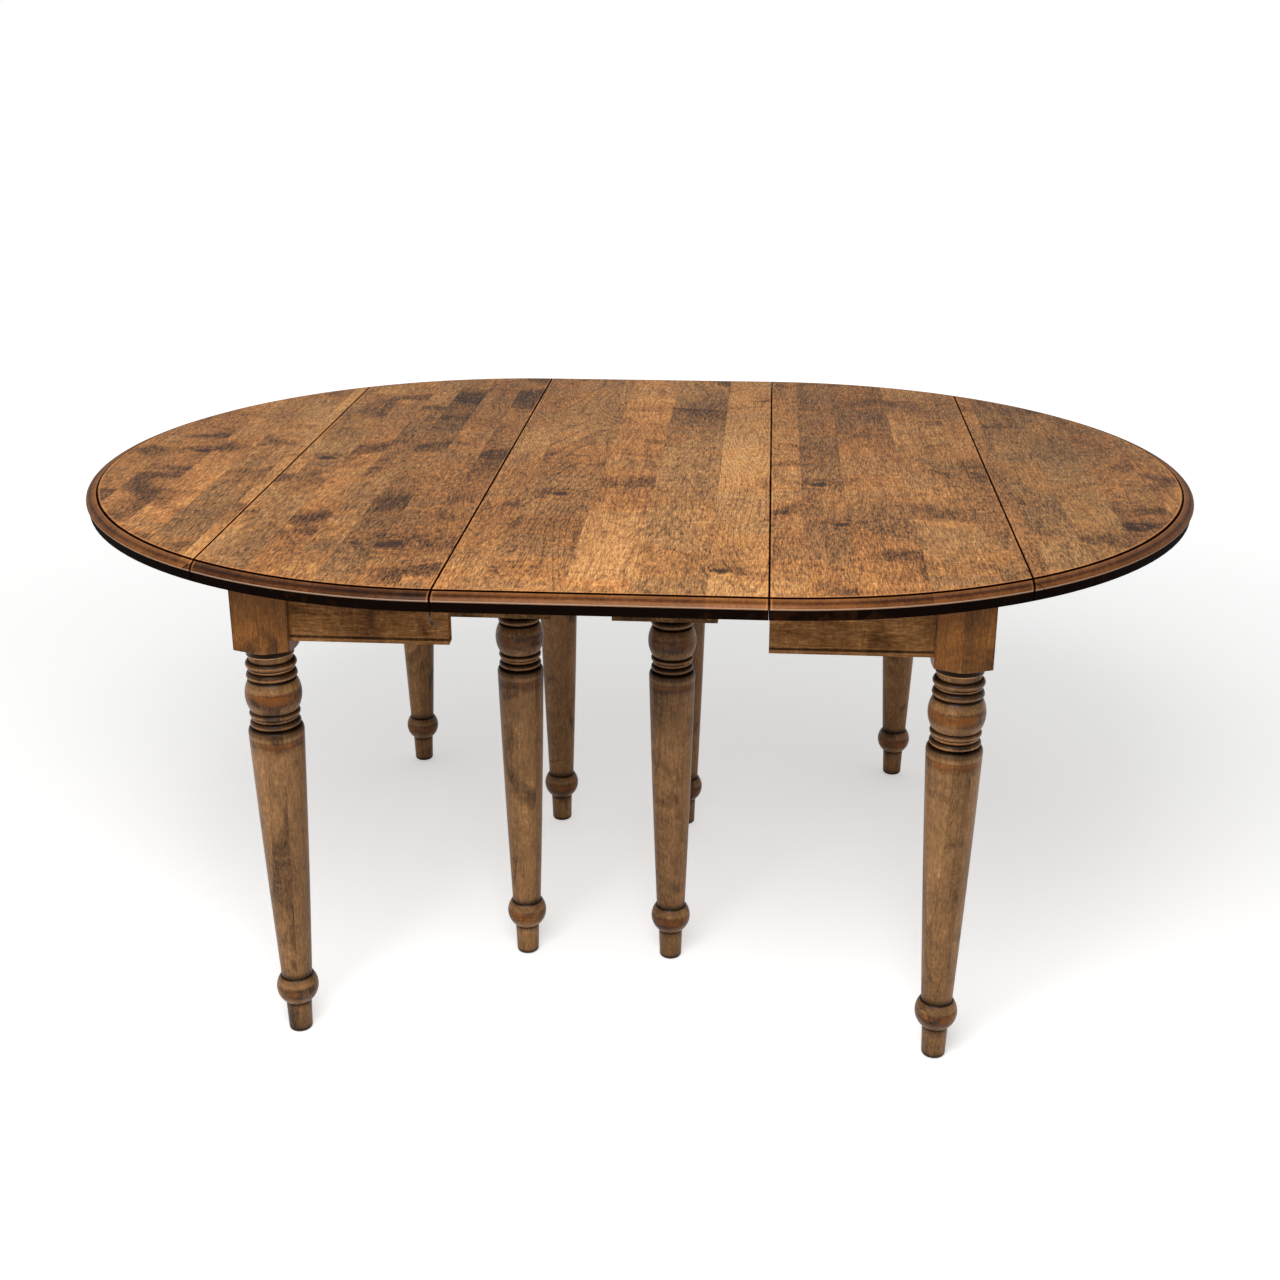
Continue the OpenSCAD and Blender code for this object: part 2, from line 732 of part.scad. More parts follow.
module both_props() for (s = [-1, 1]) translate([0, s * prop_y, 0]) children();

// ---- leaf hook ----

module eye_shank(clear = 0) translate([0, 0, eye_r])
    cylinder(r = eye_wire + clear, h = eye_shank_l + clear, $fn = small_fn);

// A screw eye with its ring across X, hanging below the top
module screw_eye() {
    rotate([0, 90, 0]) rotate_extrude($fn = 48) translate([eye_r, 0]) circle(eye_wire, $fn = small_fn);
    eye_shank();
}

module at_hook_eye() translate([hook_eye_x, -hook_y, hook_eye_z]) children();
module at_catch_eye() translate([catch_x, -hook_y, hook_eye_z]) children();

module hook_shape()
    at_hook_eye() translate([0, 0, -eye_r]) {
        rotate([90, 0, 0]) rotate_extrude($fn = 48) translate([hook_ring_r, 0])
            circle(hook_wire, $fn = small_fn);
        translate([0, 0, -hook_ring_r - hook_l]) cylinder(r = hook_wire, h = hook_l, $fn = small_fn);
        translate([hook_bend_r, 0, -hook_ring_r - hook_l]) rotate([90, 0, 0])
            rotate_extrude(angle = -180, $fn = 48) translate([hook_bend_r, 0])
                circle(hook_wire, $fn = small_fn);
    }

// ---- sub-parts: middle ----

module centre_leaf()
    color(wood_leaf) difference() {
        translate([-seam_x + gap_left, 0, 0]) rotate([90, 0, 90])
            linear_extrude(height = centre_w - gap_left - gap_right)
                polygon(concat(moulded_edge(top_r),
                    [for (i = [len(moulded_edge(top_r)) - 1 : -1 : 0])
                        [-moulded_edge(top_r)[i][0], moulded_edge(top_r)[i][1]]]));
        at_catch_eye() eye_shank(bore_gap);
    }
module catch_eye() color(steel) at_catch_eye() screw_eye();
module cross_board_left() color(wood_inner) cross_board(-1);
module cross_board_right() color(wood_inner) cross_board(1);
module middle_leg_front_left() middle_leg(-1, -1);
module middle_leg_front_right() middle_leg(1, -1);
module middle_leg_back_left() middle_leg(-1, 1);
module middle_leg_back_right() middle_leg(1, 1);
module middle_runners() color(wood_inner) front_and_back() middle_member();
module runner_stop_pins() color(steel) front_and_back() stop_pin_pair();
module middle_leg_screws()
    color(steel) for (side = [-1, 1]) for (end = [-1, 1])
        middle_leg_place(side, end) leg_screw_places() leg_screw();
module middle_runner_screws() color(steel) front_and_back() board_screw_places() board_screw();

// ---- sub-parts: one half, drawn on the right ----

module half_top(side)
    color(wood_top) difference() {
        half_top_wood();
        front_and_back() half_runner_screws(side, bore_gap);
        if (side < 0) mirror([1, 0, 0]) at_hook_eye() eye_shank(bore_gap);
    }

module half_runner_screws(side, clear = 0)
    if (side < 0) left_side() left_runner_place() rail_screw_places() rail_screw(clear);
    else right_runner_place() rail_screw_places() rail_screw(clear);

module front_apron() color(wood_apron) front_apron_wood();
module end_apron() color(wood_apron) end_apron_wood();
module corner_leg() color(wood_leg) corner_leg_wood();
module corner_braces() color(wood_inner) front_and_back() corner_brace();
module leg_bolts() color(steel) front_and_back() leg_bolt();
module bolt_nuts() color(steel) front_and_back() bolt_nut();
module glue_blocks() color(wood_inner) glue_block_set();
module hinge_plates() color(brass) hinge_places() fixed_flap();
module hinge_pins() color(steel) hinge_places() rod_y(0, 0, hinge_pin_r, -hinge_l / 2, hinge_l);
module hinge_screws() color(brass) hinge_places() flap_screws(fixed_holes);
module prop_brackets() color(steel) both_props() prop_bracket();
module prop_screws() color(steel) front_and_back() prop_screw_places() bracket_screw();
module prop_pins() color(steel) both_props() prop_pin();
module drop_leaf() color(wood_top) drop_leaf_wood();
module leaf_flaps() color(brass) hinge_places() moving_flap();
module leaf_flap_screws() color(brass) hinge_places() flap_screws(moving_holes);
module leaf_props() color(wood_leg) both_props() prop_arm();

module left_half_top() left_side() half_top(-1);
module left_front_apron() left_side() front_apron();
module left_back_apron() left_side() back_side() front_apron();
module left_end_apron() left_side() end_apron();
module left_front_leg() left_side() corner_leg();
module left_back_leg() left_side() back_side() corner_leg();
module left_runners() color(wood_inner) front_and_back() left_runner_place() runner_member();
module left_runner_screws() color(steel) left_side() front_and_back() half_runner_screws(-1);
module left_corner_braces() left_side() corner_braces();
module left_leg_bolts() left_side() leg_bolts();
module left_bolt_nuts() left_side() bolt_nuts();
module left_glue_blocks() left_side() glue_blocks();
module left_hinge_plates() left_side() hinge_plates();
module left_hinge_pins() left_side() hinge_pins();
module left_hinge_screws() left_side() hinge_screws();
module left_prop_brackets() left_side() prop_brackets();
module left_prop_screws() left_side() prop_screws();
module left_prop_pins() left_side() prop_pins();
module hook_eye() color(steel) at_hook_eye() screw_eye();
module leaf_hook() color(steel) hook_shape();
module left_drop_leaf() left_side() drop_leaf();
module left_leaf_flaps() left_side() leaf_flaps();
module left_flap_screws() left_side() leaf_flap_screws();
module left_leaf_props() left_side() leaf_props();

module right_half_top() half_top(1);
module right_front_apron() front_apron();
module right_back_apron() back_side() front_apron();
module right_end_apron() end_apron();
module right_front_leg() corner_leg();
module right_back_leg() back_side() corner_leg();
module right_runners() color(wood_inner) front_and_back() right_runner_place() runner_member();
module right_runner_screws() color(steel) front_and_back() half_runner_screws(1);
module right_corner_braces() corner_braces();
module right_leg_bolts() leg_bolts();
module right_bolt_nuts() bolt_nuts();
module right_glue_blocks() glue_blocks();
module right_hinge_plates() hinge_plates();
module right_hinge_pins() hinge_pins();
module right_hinge_screws() hinge_screws();
module right_prop_brackets() prop_brackets();
module right_prop_screws() prop_screws();
module right_prop_pins() prop_pins();
module right_drop_leaf() drop_leaf();
module right_leaf_flaps() leaf_flaps();
module right_flap_screws() leaf_flap_screws();
module right_leaf_props() leaf_props();

centre_leaf();
catch_eye();
cross_board_left();
cross_board_right();
middle_leg_front_left();
middle_leg_front_right();
middle_leg_back_left();
middle_leg_back_right();
middle_runners();
runner_stop_pins();
middle_leg_screws();
middle_runner_screws();
left_half_top();
left_front_apron();
left_back_apron();
left_end_apron();
left_front_leg();
left_back_leg();
left_runners();
left_runner_screws();
left_corner_braces();
left_leg_bolts();
left_bolt_nuts();
left_glue_blocks();
left_hinge_plates();
left_hinge_pins();
left_hinge_screws();
left_prop_brackets();
left_prop_screws();
left_prop_pins();
hook_eye();
right_half_top();
right_front_apron();
right_back_apron();
right_end_apron();
right_front_leg();
right_back_leg();
right_runners();
right_runner_screws();
right_corner_braces();
right_leg_bolts();
right_bolt_nuts();
right_glue_blocks();
right_hinge_plates();
right_hinge_pins();
right_hinge_screws();
right_prop_brackets();
right_prop_screws();
right_prop_pins();
left_drop_leaf();
left_leaf_flaps();
left_flap_screws();
right_drop_leaf();
right_leaf_flaps();
right_flap_screws();
left_leaf_props();
right_leaf_props();
leaf_hook();
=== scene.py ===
"""An extending drop leaf table in brown-stained wood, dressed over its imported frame.

The boards, aprons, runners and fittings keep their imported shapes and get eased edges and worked
surfaces here. The eight turned legs are turned again, finer, in the same places.
"""

import json
import math

import bmesh
import bpy
from mathutils import Matrix, Vector


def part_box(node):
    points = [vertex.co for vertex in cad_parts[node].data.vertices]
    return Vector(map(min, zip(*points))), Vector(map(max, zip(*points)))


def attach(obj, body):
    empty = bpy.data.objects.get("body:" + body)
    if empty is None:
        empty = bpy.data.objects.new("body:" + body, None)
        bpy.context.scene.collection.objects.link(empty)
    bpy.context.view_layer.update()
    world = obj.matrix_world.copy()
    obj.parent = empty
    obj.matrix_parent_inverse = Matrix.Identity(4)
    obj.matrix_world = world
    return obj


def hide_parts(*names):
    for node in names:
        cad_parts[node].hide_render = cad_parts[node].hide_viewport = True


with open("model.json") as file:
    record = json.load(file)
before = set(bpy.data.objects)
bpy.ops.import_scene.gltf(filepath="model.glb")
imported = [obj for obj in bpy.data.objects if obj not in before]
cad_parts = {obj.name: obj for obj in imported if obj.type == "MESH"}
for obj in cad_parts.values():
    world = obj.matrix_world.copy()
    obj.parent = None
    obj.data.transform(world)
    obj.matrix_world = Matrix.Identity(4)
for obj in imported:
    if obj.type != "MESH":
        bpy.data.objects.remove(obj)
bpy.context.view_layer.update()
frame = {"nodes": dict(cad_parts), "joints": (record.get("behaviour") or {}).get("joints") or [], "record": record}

MM = 0.001

# ---- levels and lines taken from the frame ----

top_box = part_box("centre_leaf")
TOP_Z = top_box[1].z
TOP_RADIUS = top_box[1].y
SEAM_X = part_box("right_half_top")[0].x
HINGE_X = [j for j in frame["joints"] if j["name"] == "right_leaf_drop"][0]["pos_m"][0]
BODY_OF = {
    node: body
    for body, members in frame["record"]["behaviour"]["bodies"].items()
    for node in members
}

# ---- edge moulding, as in the part's source ----

BORDER = 17 * MM
QUIRK = 1.6 * MM
ROUND_DEPTH = 8.8 * MM
ARRIS_Z = TOP_Z - QUIRK - ROUND_DEPTH

# ---- camera ----

CAMERA_PLACE = Vector((0.2045, -2.6647, 1.4742))
CAMERA_YAW = math.radians(4.289)
CAMERA_PITCH = math.radians(-20.848)
CAMERA_ROLL = math.radians(-0.056)
CAMERA_LENS = 48.06
CAMERA_SENSOR = 36
CAMERA_REACH = 200


def set_camera():
    """A camera in front of the table, a little to its right, looking down at it."""
    camera = bpy.data.objects.new("camera", bpy.data.cameras.new("camera"))
    bpy.context.scene.collection.objects.link(camera)
    camera.data.lens = CAMERA_LENS
    camera.data.sensor_width = CAMERA_SENSOR
    camera.data.clip_end = CAMERA_REACH
    turn = (
        Matrix.Rotation(CAMERA_YAW, 3, "Z")
        @ Matrix.Rotation(math.radians(90) + CAMERA_PITCH, 3, "X")
        @ Matrix.Rotation(CAMERA_ROLL, 3, "Z")
    )
    camera.rotation_euler = turn.to_euler()
    camera.location = CAMERA_PLACE
    bpy.context.scene.camera = camera


set_camera()
bpy.context.scene.view_settings.view_transform = "Standard"


# ---- wiring of node trees ----


class Web:
    """One node tree being wired. Each call adds a node and hands back its output."""

    def __init__(self, tree):
        self.tree = tree

    def feed(self, socket, value):
        """Links an output to a socket, or sets the socket to a plain value."""
        if isinstance(value, bpy.types.NodeSocket):
            self.tree.links.new(value, socket)
        else:
            socket.default_value = value

    def node(self, kind, inputs, **settings):
        """A node with its settings, each of its inputs linked or set."""
        made = self.tree.nodes.new(kind)
        for name, value in settings.items():
            setattr(made, name, value)
        for name, value in inputs.items():
            self.feed(made.inputs[name], value)
        return made

    def math(self, operation, a, b=0.0, clamp=False):
        made = self.node("ShaderNodeMath", {0: a, 1: b}, operation=operation, use_clamp=clamp)
        return made.outputs[0]

    def plus(self, a, b):
        return self.math("ADD", a, b)

    def minus(self, a, b, clamp=False):
        return self.math("SUBTRACT", a, b, clamp)

    def times(self, a, b):
        return self.math("MULTIPLY", a, b)

    def over(self, a, b):
        return self.math("DIVIDE", a, b)

    def larger(self, a, b):
        return self.math("MAXIMUM", a, b)

    def size(self, value):
        return self.math("ABSOLUTE", value)

    def vector(self, operation, a, b=(0, 0, 0)):
        return self.node("ShaderNodeVectorMath", {0: a, 1: b}, operation=operation).outputs[0]

    def split(self, vector):
        return self.node("ShaderNodeSeparateXYZ", {0: vector}).outputs

    def join(self, x, y, z):
        return self.node("ShaderNodeCombineXYZ", {0: x, 1: y, 2: z}).outputs[0]

    def blend(self, factor, a, b, mode="MIX"):
        inputs = {0: factor, 6: a, 7: b}
        return self.node("ShaderNodeMix", inputs, data_type="RGBA", blend_type=mode).outputs[2]

    def between(self, factor, a, b):
        return self.node("ShaderNodeMix", {0: factor, 2: a, 3: b}, data_type="FLOAT").outputs[0]

    def fade(self, value, start, end):
        """0 at start and 1 at end, eased, whichever of the two is larger."""
        inputs = {"Value": value, "From Min": start, "From Max": end}
        return self.node("ShaderNodeMapRange", inputs, interpolation_type="SMOOTHSTEP").outputs[0]

    def ridge(self, value, middle, foot, crest):
        """1 within crest of the middle, 0 beyond foot of it."""
        return self.fade(self.size(self.minus(value, middle)), foot, crest)

    def stretched(self, place, waves, detail=2.0, roughness=0.5, distortion=0.0):
        """Noise with its own number of waves per metre along each axis."""
        place = self.vector("MULTIPLY", place, waves)
        return self.noise(place, detail=detail, roughness=roughness, distortion=distortion)

    def noise(self, vector, scale=1.0, detail=2.0, roughness=0.5, distortion=0.0):
        inputs = {"Vector": vector, "Scale": scale, "Detail": detail, "Roughness": roughness}
        inputs["Distortion"] = distortion
        return self.node("ShaderNodeTexNoise", inputs).outputs[0]

    def cells(self, value, randomness=0.8):
        """Random colour of the cell that a value falls in, and its distance to the next cell."""
        inputs = {"W": value, "Scale": 1.0, "Randomness": randomness}
        tint = self.node("ShaderNodeTexVoronoi", inputs, voronoi_dimensions="1D")
        edge = self.node(
            "ShaderNodeTexVoronoi", inputs, voronoi_dimensions="1D", feature="DISTANCE_TO_EDGE"
        )
        return tint.outputs["Color"], edge.outputs["Distance"]

    def ramp(self, value, stops):
        """The colour at a value, between (value, colour) stops."""
        made = self.node("ShaderNodeValToRGB", {0: value})
        band = made.color_ramp
        while len(band.elements) < len(stops):
            band.elements.new(0.5)
        for element, (place, tint) in zip(band.elements, stops):
            element.position = place
            element.color = tint
        return made.outputs[0]

    def use(self, group, **inputs):
        """Places a node group and returns its outputs. Input names are written with underscores."""
        made = self.tree.nodes.new("ShaderNodeGroup")
        made.node_tree = group
        for name, value in inputs.items():
            self.feed(made.inputs[name.replace("_", " ")], value)
        return made.outputs

    def place(self):
        """The place in the table's frame, in metres."""
        return self.node("ShaderNodeTexCoord", {}).outputs["Object"]


def paint(red, green, blue):
    """A colour given as it looks on a screen, 0 to 255, as the shaders want it."""
    def linear(level):
        level /= 255
        return level / 12.92 if level <= 0.04045 else ((level + 0.055) / 1.055) ** 2.4

    return (linear(red), linear(green), linear(blue), 1.0)


def new_group(name, inputs, outputs, wire):
    """A shader node group. Inputs give name: default value; wire returns the outputs in order."""
    tree = bpy.data.node_groups.new(name, "ShaderNodeTree")
    for title, value in inputs.items():
        kind = "NodeSocketFloat" if isinstance(value, float) else "NodeSocketVector"
        tree.interface.new_socket(title, in_out="INPUT", socket_type=kind).default_value = value
    for title, kind in outputs.items():
        tree.interface.new_socket(title, in_out="OUTPUT", socket_type="NodeSocket" + kind)
    web = Web(tree)
    given = tree.nodes.new("NodeGroupInput").outputs
    made = wire(web, given)
    web.node("NodeGroupOutput", dict(enumerate(made)))
    return tree


# ---- effects that several woods share ----

# Waves per metre of each kind of mark, across, along and through the wood.
FINE_WAVES = (520, 60, 520)
FIBRE_WAVES = (230, 26, 230)
STREAK_WAVES = (60, 4.5, 60)
GROWTH_WAVES = (7.0, 1.3, 7.0)
SPECK_WAVES = (420, 130, 420)
CURL_WAVES = (20, 62, 40)
PATCH_WAVES = (4.0, 6.0, 4.0)
SHADE_WAVES = (3.0, 2.6, 3.0)
KNOT_WAVES = (48, 70, 48)
SCUFF_WAVES = (14, 14, 14)
CLOUD_WAVES = 3.6

# How far one stave's marks are shifted from the next one's, so that no two look alike.
STAVE_SHIFT = (7, 5, 3)
# Dark lines across the border of a stain patch.
SWIRLS = 34.0


def wire_staves(web, given):
    """Staves side by side across X: each one's own tone, hue, figure and shift, and glue lines."""
    x = web.split(given["Position"])[0]
    across = web.plus(web.over(x, given["Width"]), given["Seed"])
    stave, edge = web.cells(across, 0.75)
    tone, hue, figure = web.split(stave)
    line = web.fade(web.times(edge, given["Width"]), 0.9 * MM, 0.1 * MM)
    return tone, hue, figure, line, web.vector("MULTIPLY", stave, STAVE_SHIFT)


staves = new_group(
    "glued_staves",
    {"Position": (0, 0, 0), "Width": 0.07, "Seed": 0.0},
    {"Tone": "Float", "Hue": "Float", "Figure": "Float", "Glue Line": "Float", "Shift": "Vector"},
    wire_staves,
)


def wire_grain(web, given):
    """Pores, fibres, streaks, growth rings and specks, all drawn out along Y."""
    place = web.vector("ADD", given["Position"], given["Shift"])
    fine = web.stretched(place, FINE_WAVES, roughness=0.6)
    fibre = web.stretched(place, FIBRE_WAVES, detail=3.0, roughness=0.6)
    streak = web.stretched(place, STREAK_WAVES, detail=3.0, distortion=0.6)
    body = web.stretched(place, GROWTH_WAVES, detail=1.5, distortion=0.3)
    ring = web.math("FRACT", web.times(body, given["Rings"]))
    speck = web.stretched(place, SPECK_WAVES, detail=1.0)
    return fine, fibre, streak, web.fade(ring, 0.66, 1.0), speck


grain = new_group(
    "long_grain",
    {"Position": (0, 0, 0), "Shift": (0, 0, 0), "Rings": 16.0},
    {"Fine": "Float", "Fibre": "Float", "Streak": "Float", "Ring": "Float", "Speck": "Float"},
    wire_grain,
)


def wire_smudges(web, given):
    """Dark patches of stain with a pale border and swirls, wavy curl marks, and slow shades."""
    place = web.vector("ADD", given["Position"], given["Shift"])
    curl = web.stretched(place, CURL_WAVES, detail=4.0, roughness=0.65, distortion=1.8)
    patch = web.stretched(place, PATCH_WAVES, detail=3.0, distortion=0.9)
    patch = web.plus(patch, web.times(web.minus(curl, 0.5), 0.14))
    start = web.minus(0.68, web.times(given["Amount"], 0.18))
    dark = web.fade(patch, start, web.plus(start, 0.17))
    near = web.fade(patch, web.minus(start, 0.09), start)
    swirl = web.math("FRACT", web.times(patch, SWIRLS))
    swirl = web.times(web.fade(swirl, 0.5, 1.0), near)
    crack = web.ridge(curl, 0.5, 0.035, 0.0)
    swirl = web.larger(swirl, web.times(crack, near))
    cloud = web.noise(given["Position"], scale=CLOUD_WAVES, detail=4.0, roughness=0.6)
    shade = web.stretched(place, SHADE_WAVES, detail=3.0)
    return dark, web.minus(near, dark, clamp=True), swirl, cloud, shade, curl


smudges = new_group(
    "stain_smudges",
    {"Position": (0, 0, 0), "Shift": (0, 0, 0), "Amount": 0.5},
    {
        "Dark": "Float", "Glow": "Float", "Swirl": "Float", "Cloud": "Float", "Shade": "Float",
        "Curl": "Float",
    },
    wire_smudges,
)


def wire_knot(web, given):
    """A knot: its dark eye, the bright ring and the halo round it, and its fine rings."""
    x, y = web.split(web.vector("SUBTRACT", given["Position"], given["Centre"]))[:2]
    wander = web.times(web.minus(web.stretched(given["Position"], KNOT_WAVES), 0.5), 1.5)
    across = web.over(web.times(x, 0.8), given["Size"])
    along = web.over(y, given["Size"])
    away = web.math("SQRT", web.plus(web.times(across, across), web.times(along, along)))
    away = web.plus(away, wander)
    eye = web.fade(away, 0.9, 0.55)
    bright = web.ridge(away, 1.5, 0.5, 0.1)
    above = web.fade(along, -1.5, 1.5)
    halo = web.times(web.fade(away, 3.6, 1.4), web.between(above, 0.35, 1.0))
    rings = web.math("SINE", web.times(away, 11.0))
    rings = web.times(web.fade(rings, 0.2, 1.0), web.fade(away, 5.0, 1.2))
    return eye, bright, halo, rings


knot = new_group(
    "knot",
    {"Position": (0, 0, 0), "Centre": (0, 0, 0), "Size": 0.014},
    {"Eye": "Float", "Bright": "Float", "Halo": "Float", "Rings": "Float"},
    wire_knot,
)


def wire_rim(web, given):
    """The parts of the moulded edge, by how far a place lies in from the oval's outline."""
    x, y, z = web.split(given["Position"])
    beyond = web.larger(web.minus(web.size(x), SEAM_X), 0.0)
    radial = web.math("SQRT", web.plus(web.times(beyond, beyond), web.times(y, y)))
    inset = web.minus(TOP_RADIUS, radial)
    past = web.minus(inset, BORDER)
    above = web.fade(z, TOP_Z - 4 * MM, TOP_Z - 3 * MM)
    border = web.fade(past, 0.4 * MM, -0.4 * MM)
    # Line is the quirk's corner, which the top's finish paints dark as painted shade with dirt.
    line = web.times(web.ridge(past, 0.0, 2.2 * MM, 0.9 * MM), above)
    worn = web.times(web.ridge(past, 3.4 * MM, 1.6 * MM, 0.3 * MM), above)
    lip = web.ridge(past, -2.8 * MM, 1.8 * MM, 0.4 * MM)
    band = web.fade(z, ARRIS_Z - 0.6 * MM, ARRIS_Z - 2.0 * MM)
    band = web.times(band, web.fade(inset, 9 * MM, 6 * MM))
    arris = web.ridge(z, ARRIS_Z - 0.1 * MM, 1.9 * MM, 0.5 * MM)
    arris = web.times(arris, web.fade(inset, 4 * MM, 2 * MM))
    cove = web.times(web.ridge(inset, 6 * MM, 4 * MM, 1 * MM), border)
    return border, line, worn, lip, band, arris, cove


rim = new_group(
    "moulded_rim",
    {"Position": (0, 0, 0)},
    {
        "Border": "Float", "Line": "Float", "Worn": "Float", "Lip": "Float", "Band": "Float",
        "Arris": "Float", "Cove": "Float",
    },
    wire_rim,
)


def wire_seams(web, given):
    """Dirt in the top's four seams, and edges worn bright in places beside them."""
    x = web.size(web.split(given["Position"])[0])
    from_seam = web.size(web.minus(x, SEAM_X))
    from_hinge = web.size(web.minus(x, HINGE_X))
    away = web.math("MINIMUM", from_seam, from_hinge)
    dirt = web.fade(away, 2.0 * MM, 0.9 * MM)
    scuffed = web.stretched(given["Position"], SCUFF_WAVES)
    bright_edges = web.ridge(away, 3.0 * MM, 1.6 * MM, 0.2 * MM)
    return dirt, web.times(bright_edges, web.fade(scuffed, 0.42, 0.6))


seams = new_group(
    "seam_wear",
    {"Position": (0, 0, 0)},
    {"Dirt": "Float", "Rubbed": "Float"},
    wire_seams,
)


# ---- woods ----

WOOD_RELIEF = 0.3 * MM
VARNISH_ROUGHNESS = 0.3


def finish_wood(web, material, tint, roughness, height, varnish, gloss=0.0):
    """Ends a wood's tree: its colour, relief and thin worn varnish go into one shader."""
    bump = web.node("ShaderNodeBump",
                    {"Height": height, "Distance": WOOD_RELIEF, "Strength": 1.0})
    inputs = {"Base Color": tint, "Roughness": roughness, "Normal": bump.outputs[0],
              "Coat Weight": varnish}
    shader = web.node("ShaderNodeBsdfPrincipled", inputs)
    shader.inputs["Specular IOR Level"].default_value = gloss
    shader.inputs["Coat Roughness"].default_value = VARNISH_ROUGHNESS
    web.node("ShaderNodeOutputMaterial", {"Surface": shader.outputs[0]})
    return material


def new_material(name):
    """An empty node material, and its tree ready to be wired."""
    material = bpy.data.materials.new(name)
    material.use_nodes = True
    material.node_tree.nodes.clear()
    return material, Web(material.node_tree)


def weigh(web, base, parts):
    """base plus, for each (value, middle, weight), the value less its middle, times its weight."""
    total = base
    for value, middle, weight in parts:
        total = web.plus(total, web.times(web.minus(value, middle), weight))
    return total


TOP_TONES = [
    (0.0, paint(30, 14, 6)), (0.25, paint(88, 58, 33)), (0.5, paint(143, 99, 60)),
    (0.72, paint(182, 129, 78)), (1.0, paint(224, 170, 112)),
]
RIM_TONES = [
    (0.0, paint(9, 2, 0)), (0.25, paint(62, 32, 13)), (0.5, paint(116, 70, 33)),
    (0.75, paint(162, 106, 58)), (1.0, paint(206, 150, 98)),
]
WARM_STAVE = paint(255, 249, 236)
COOL_STAVE = paint(244, 252, 250)
SMOKE = paint(255, 246, 236)
AMBER = paint(255, 226, 180)
KNOT_DARK = paint(44, 24, 14)
# Near-black for painted shade and dirt in creases, and dirt in the seams.
SHADE_AND_GRIME_DARK = paint(14, 4, 1)
RUBBED_EDGE = paint(204, 132, 72)
# Wear and painted highlight along the arris.
ARRIS_RUB_AND_HIGHLIGHT = paint(196, 164, 138)


def within(node, across, along):
    """A place on a node's upper face, as shares of its box."""
    low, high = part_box(node)
    return (low.x + (high.x - low.x) * across, low.y + (high.y - low.y) * along, TOP_Z)


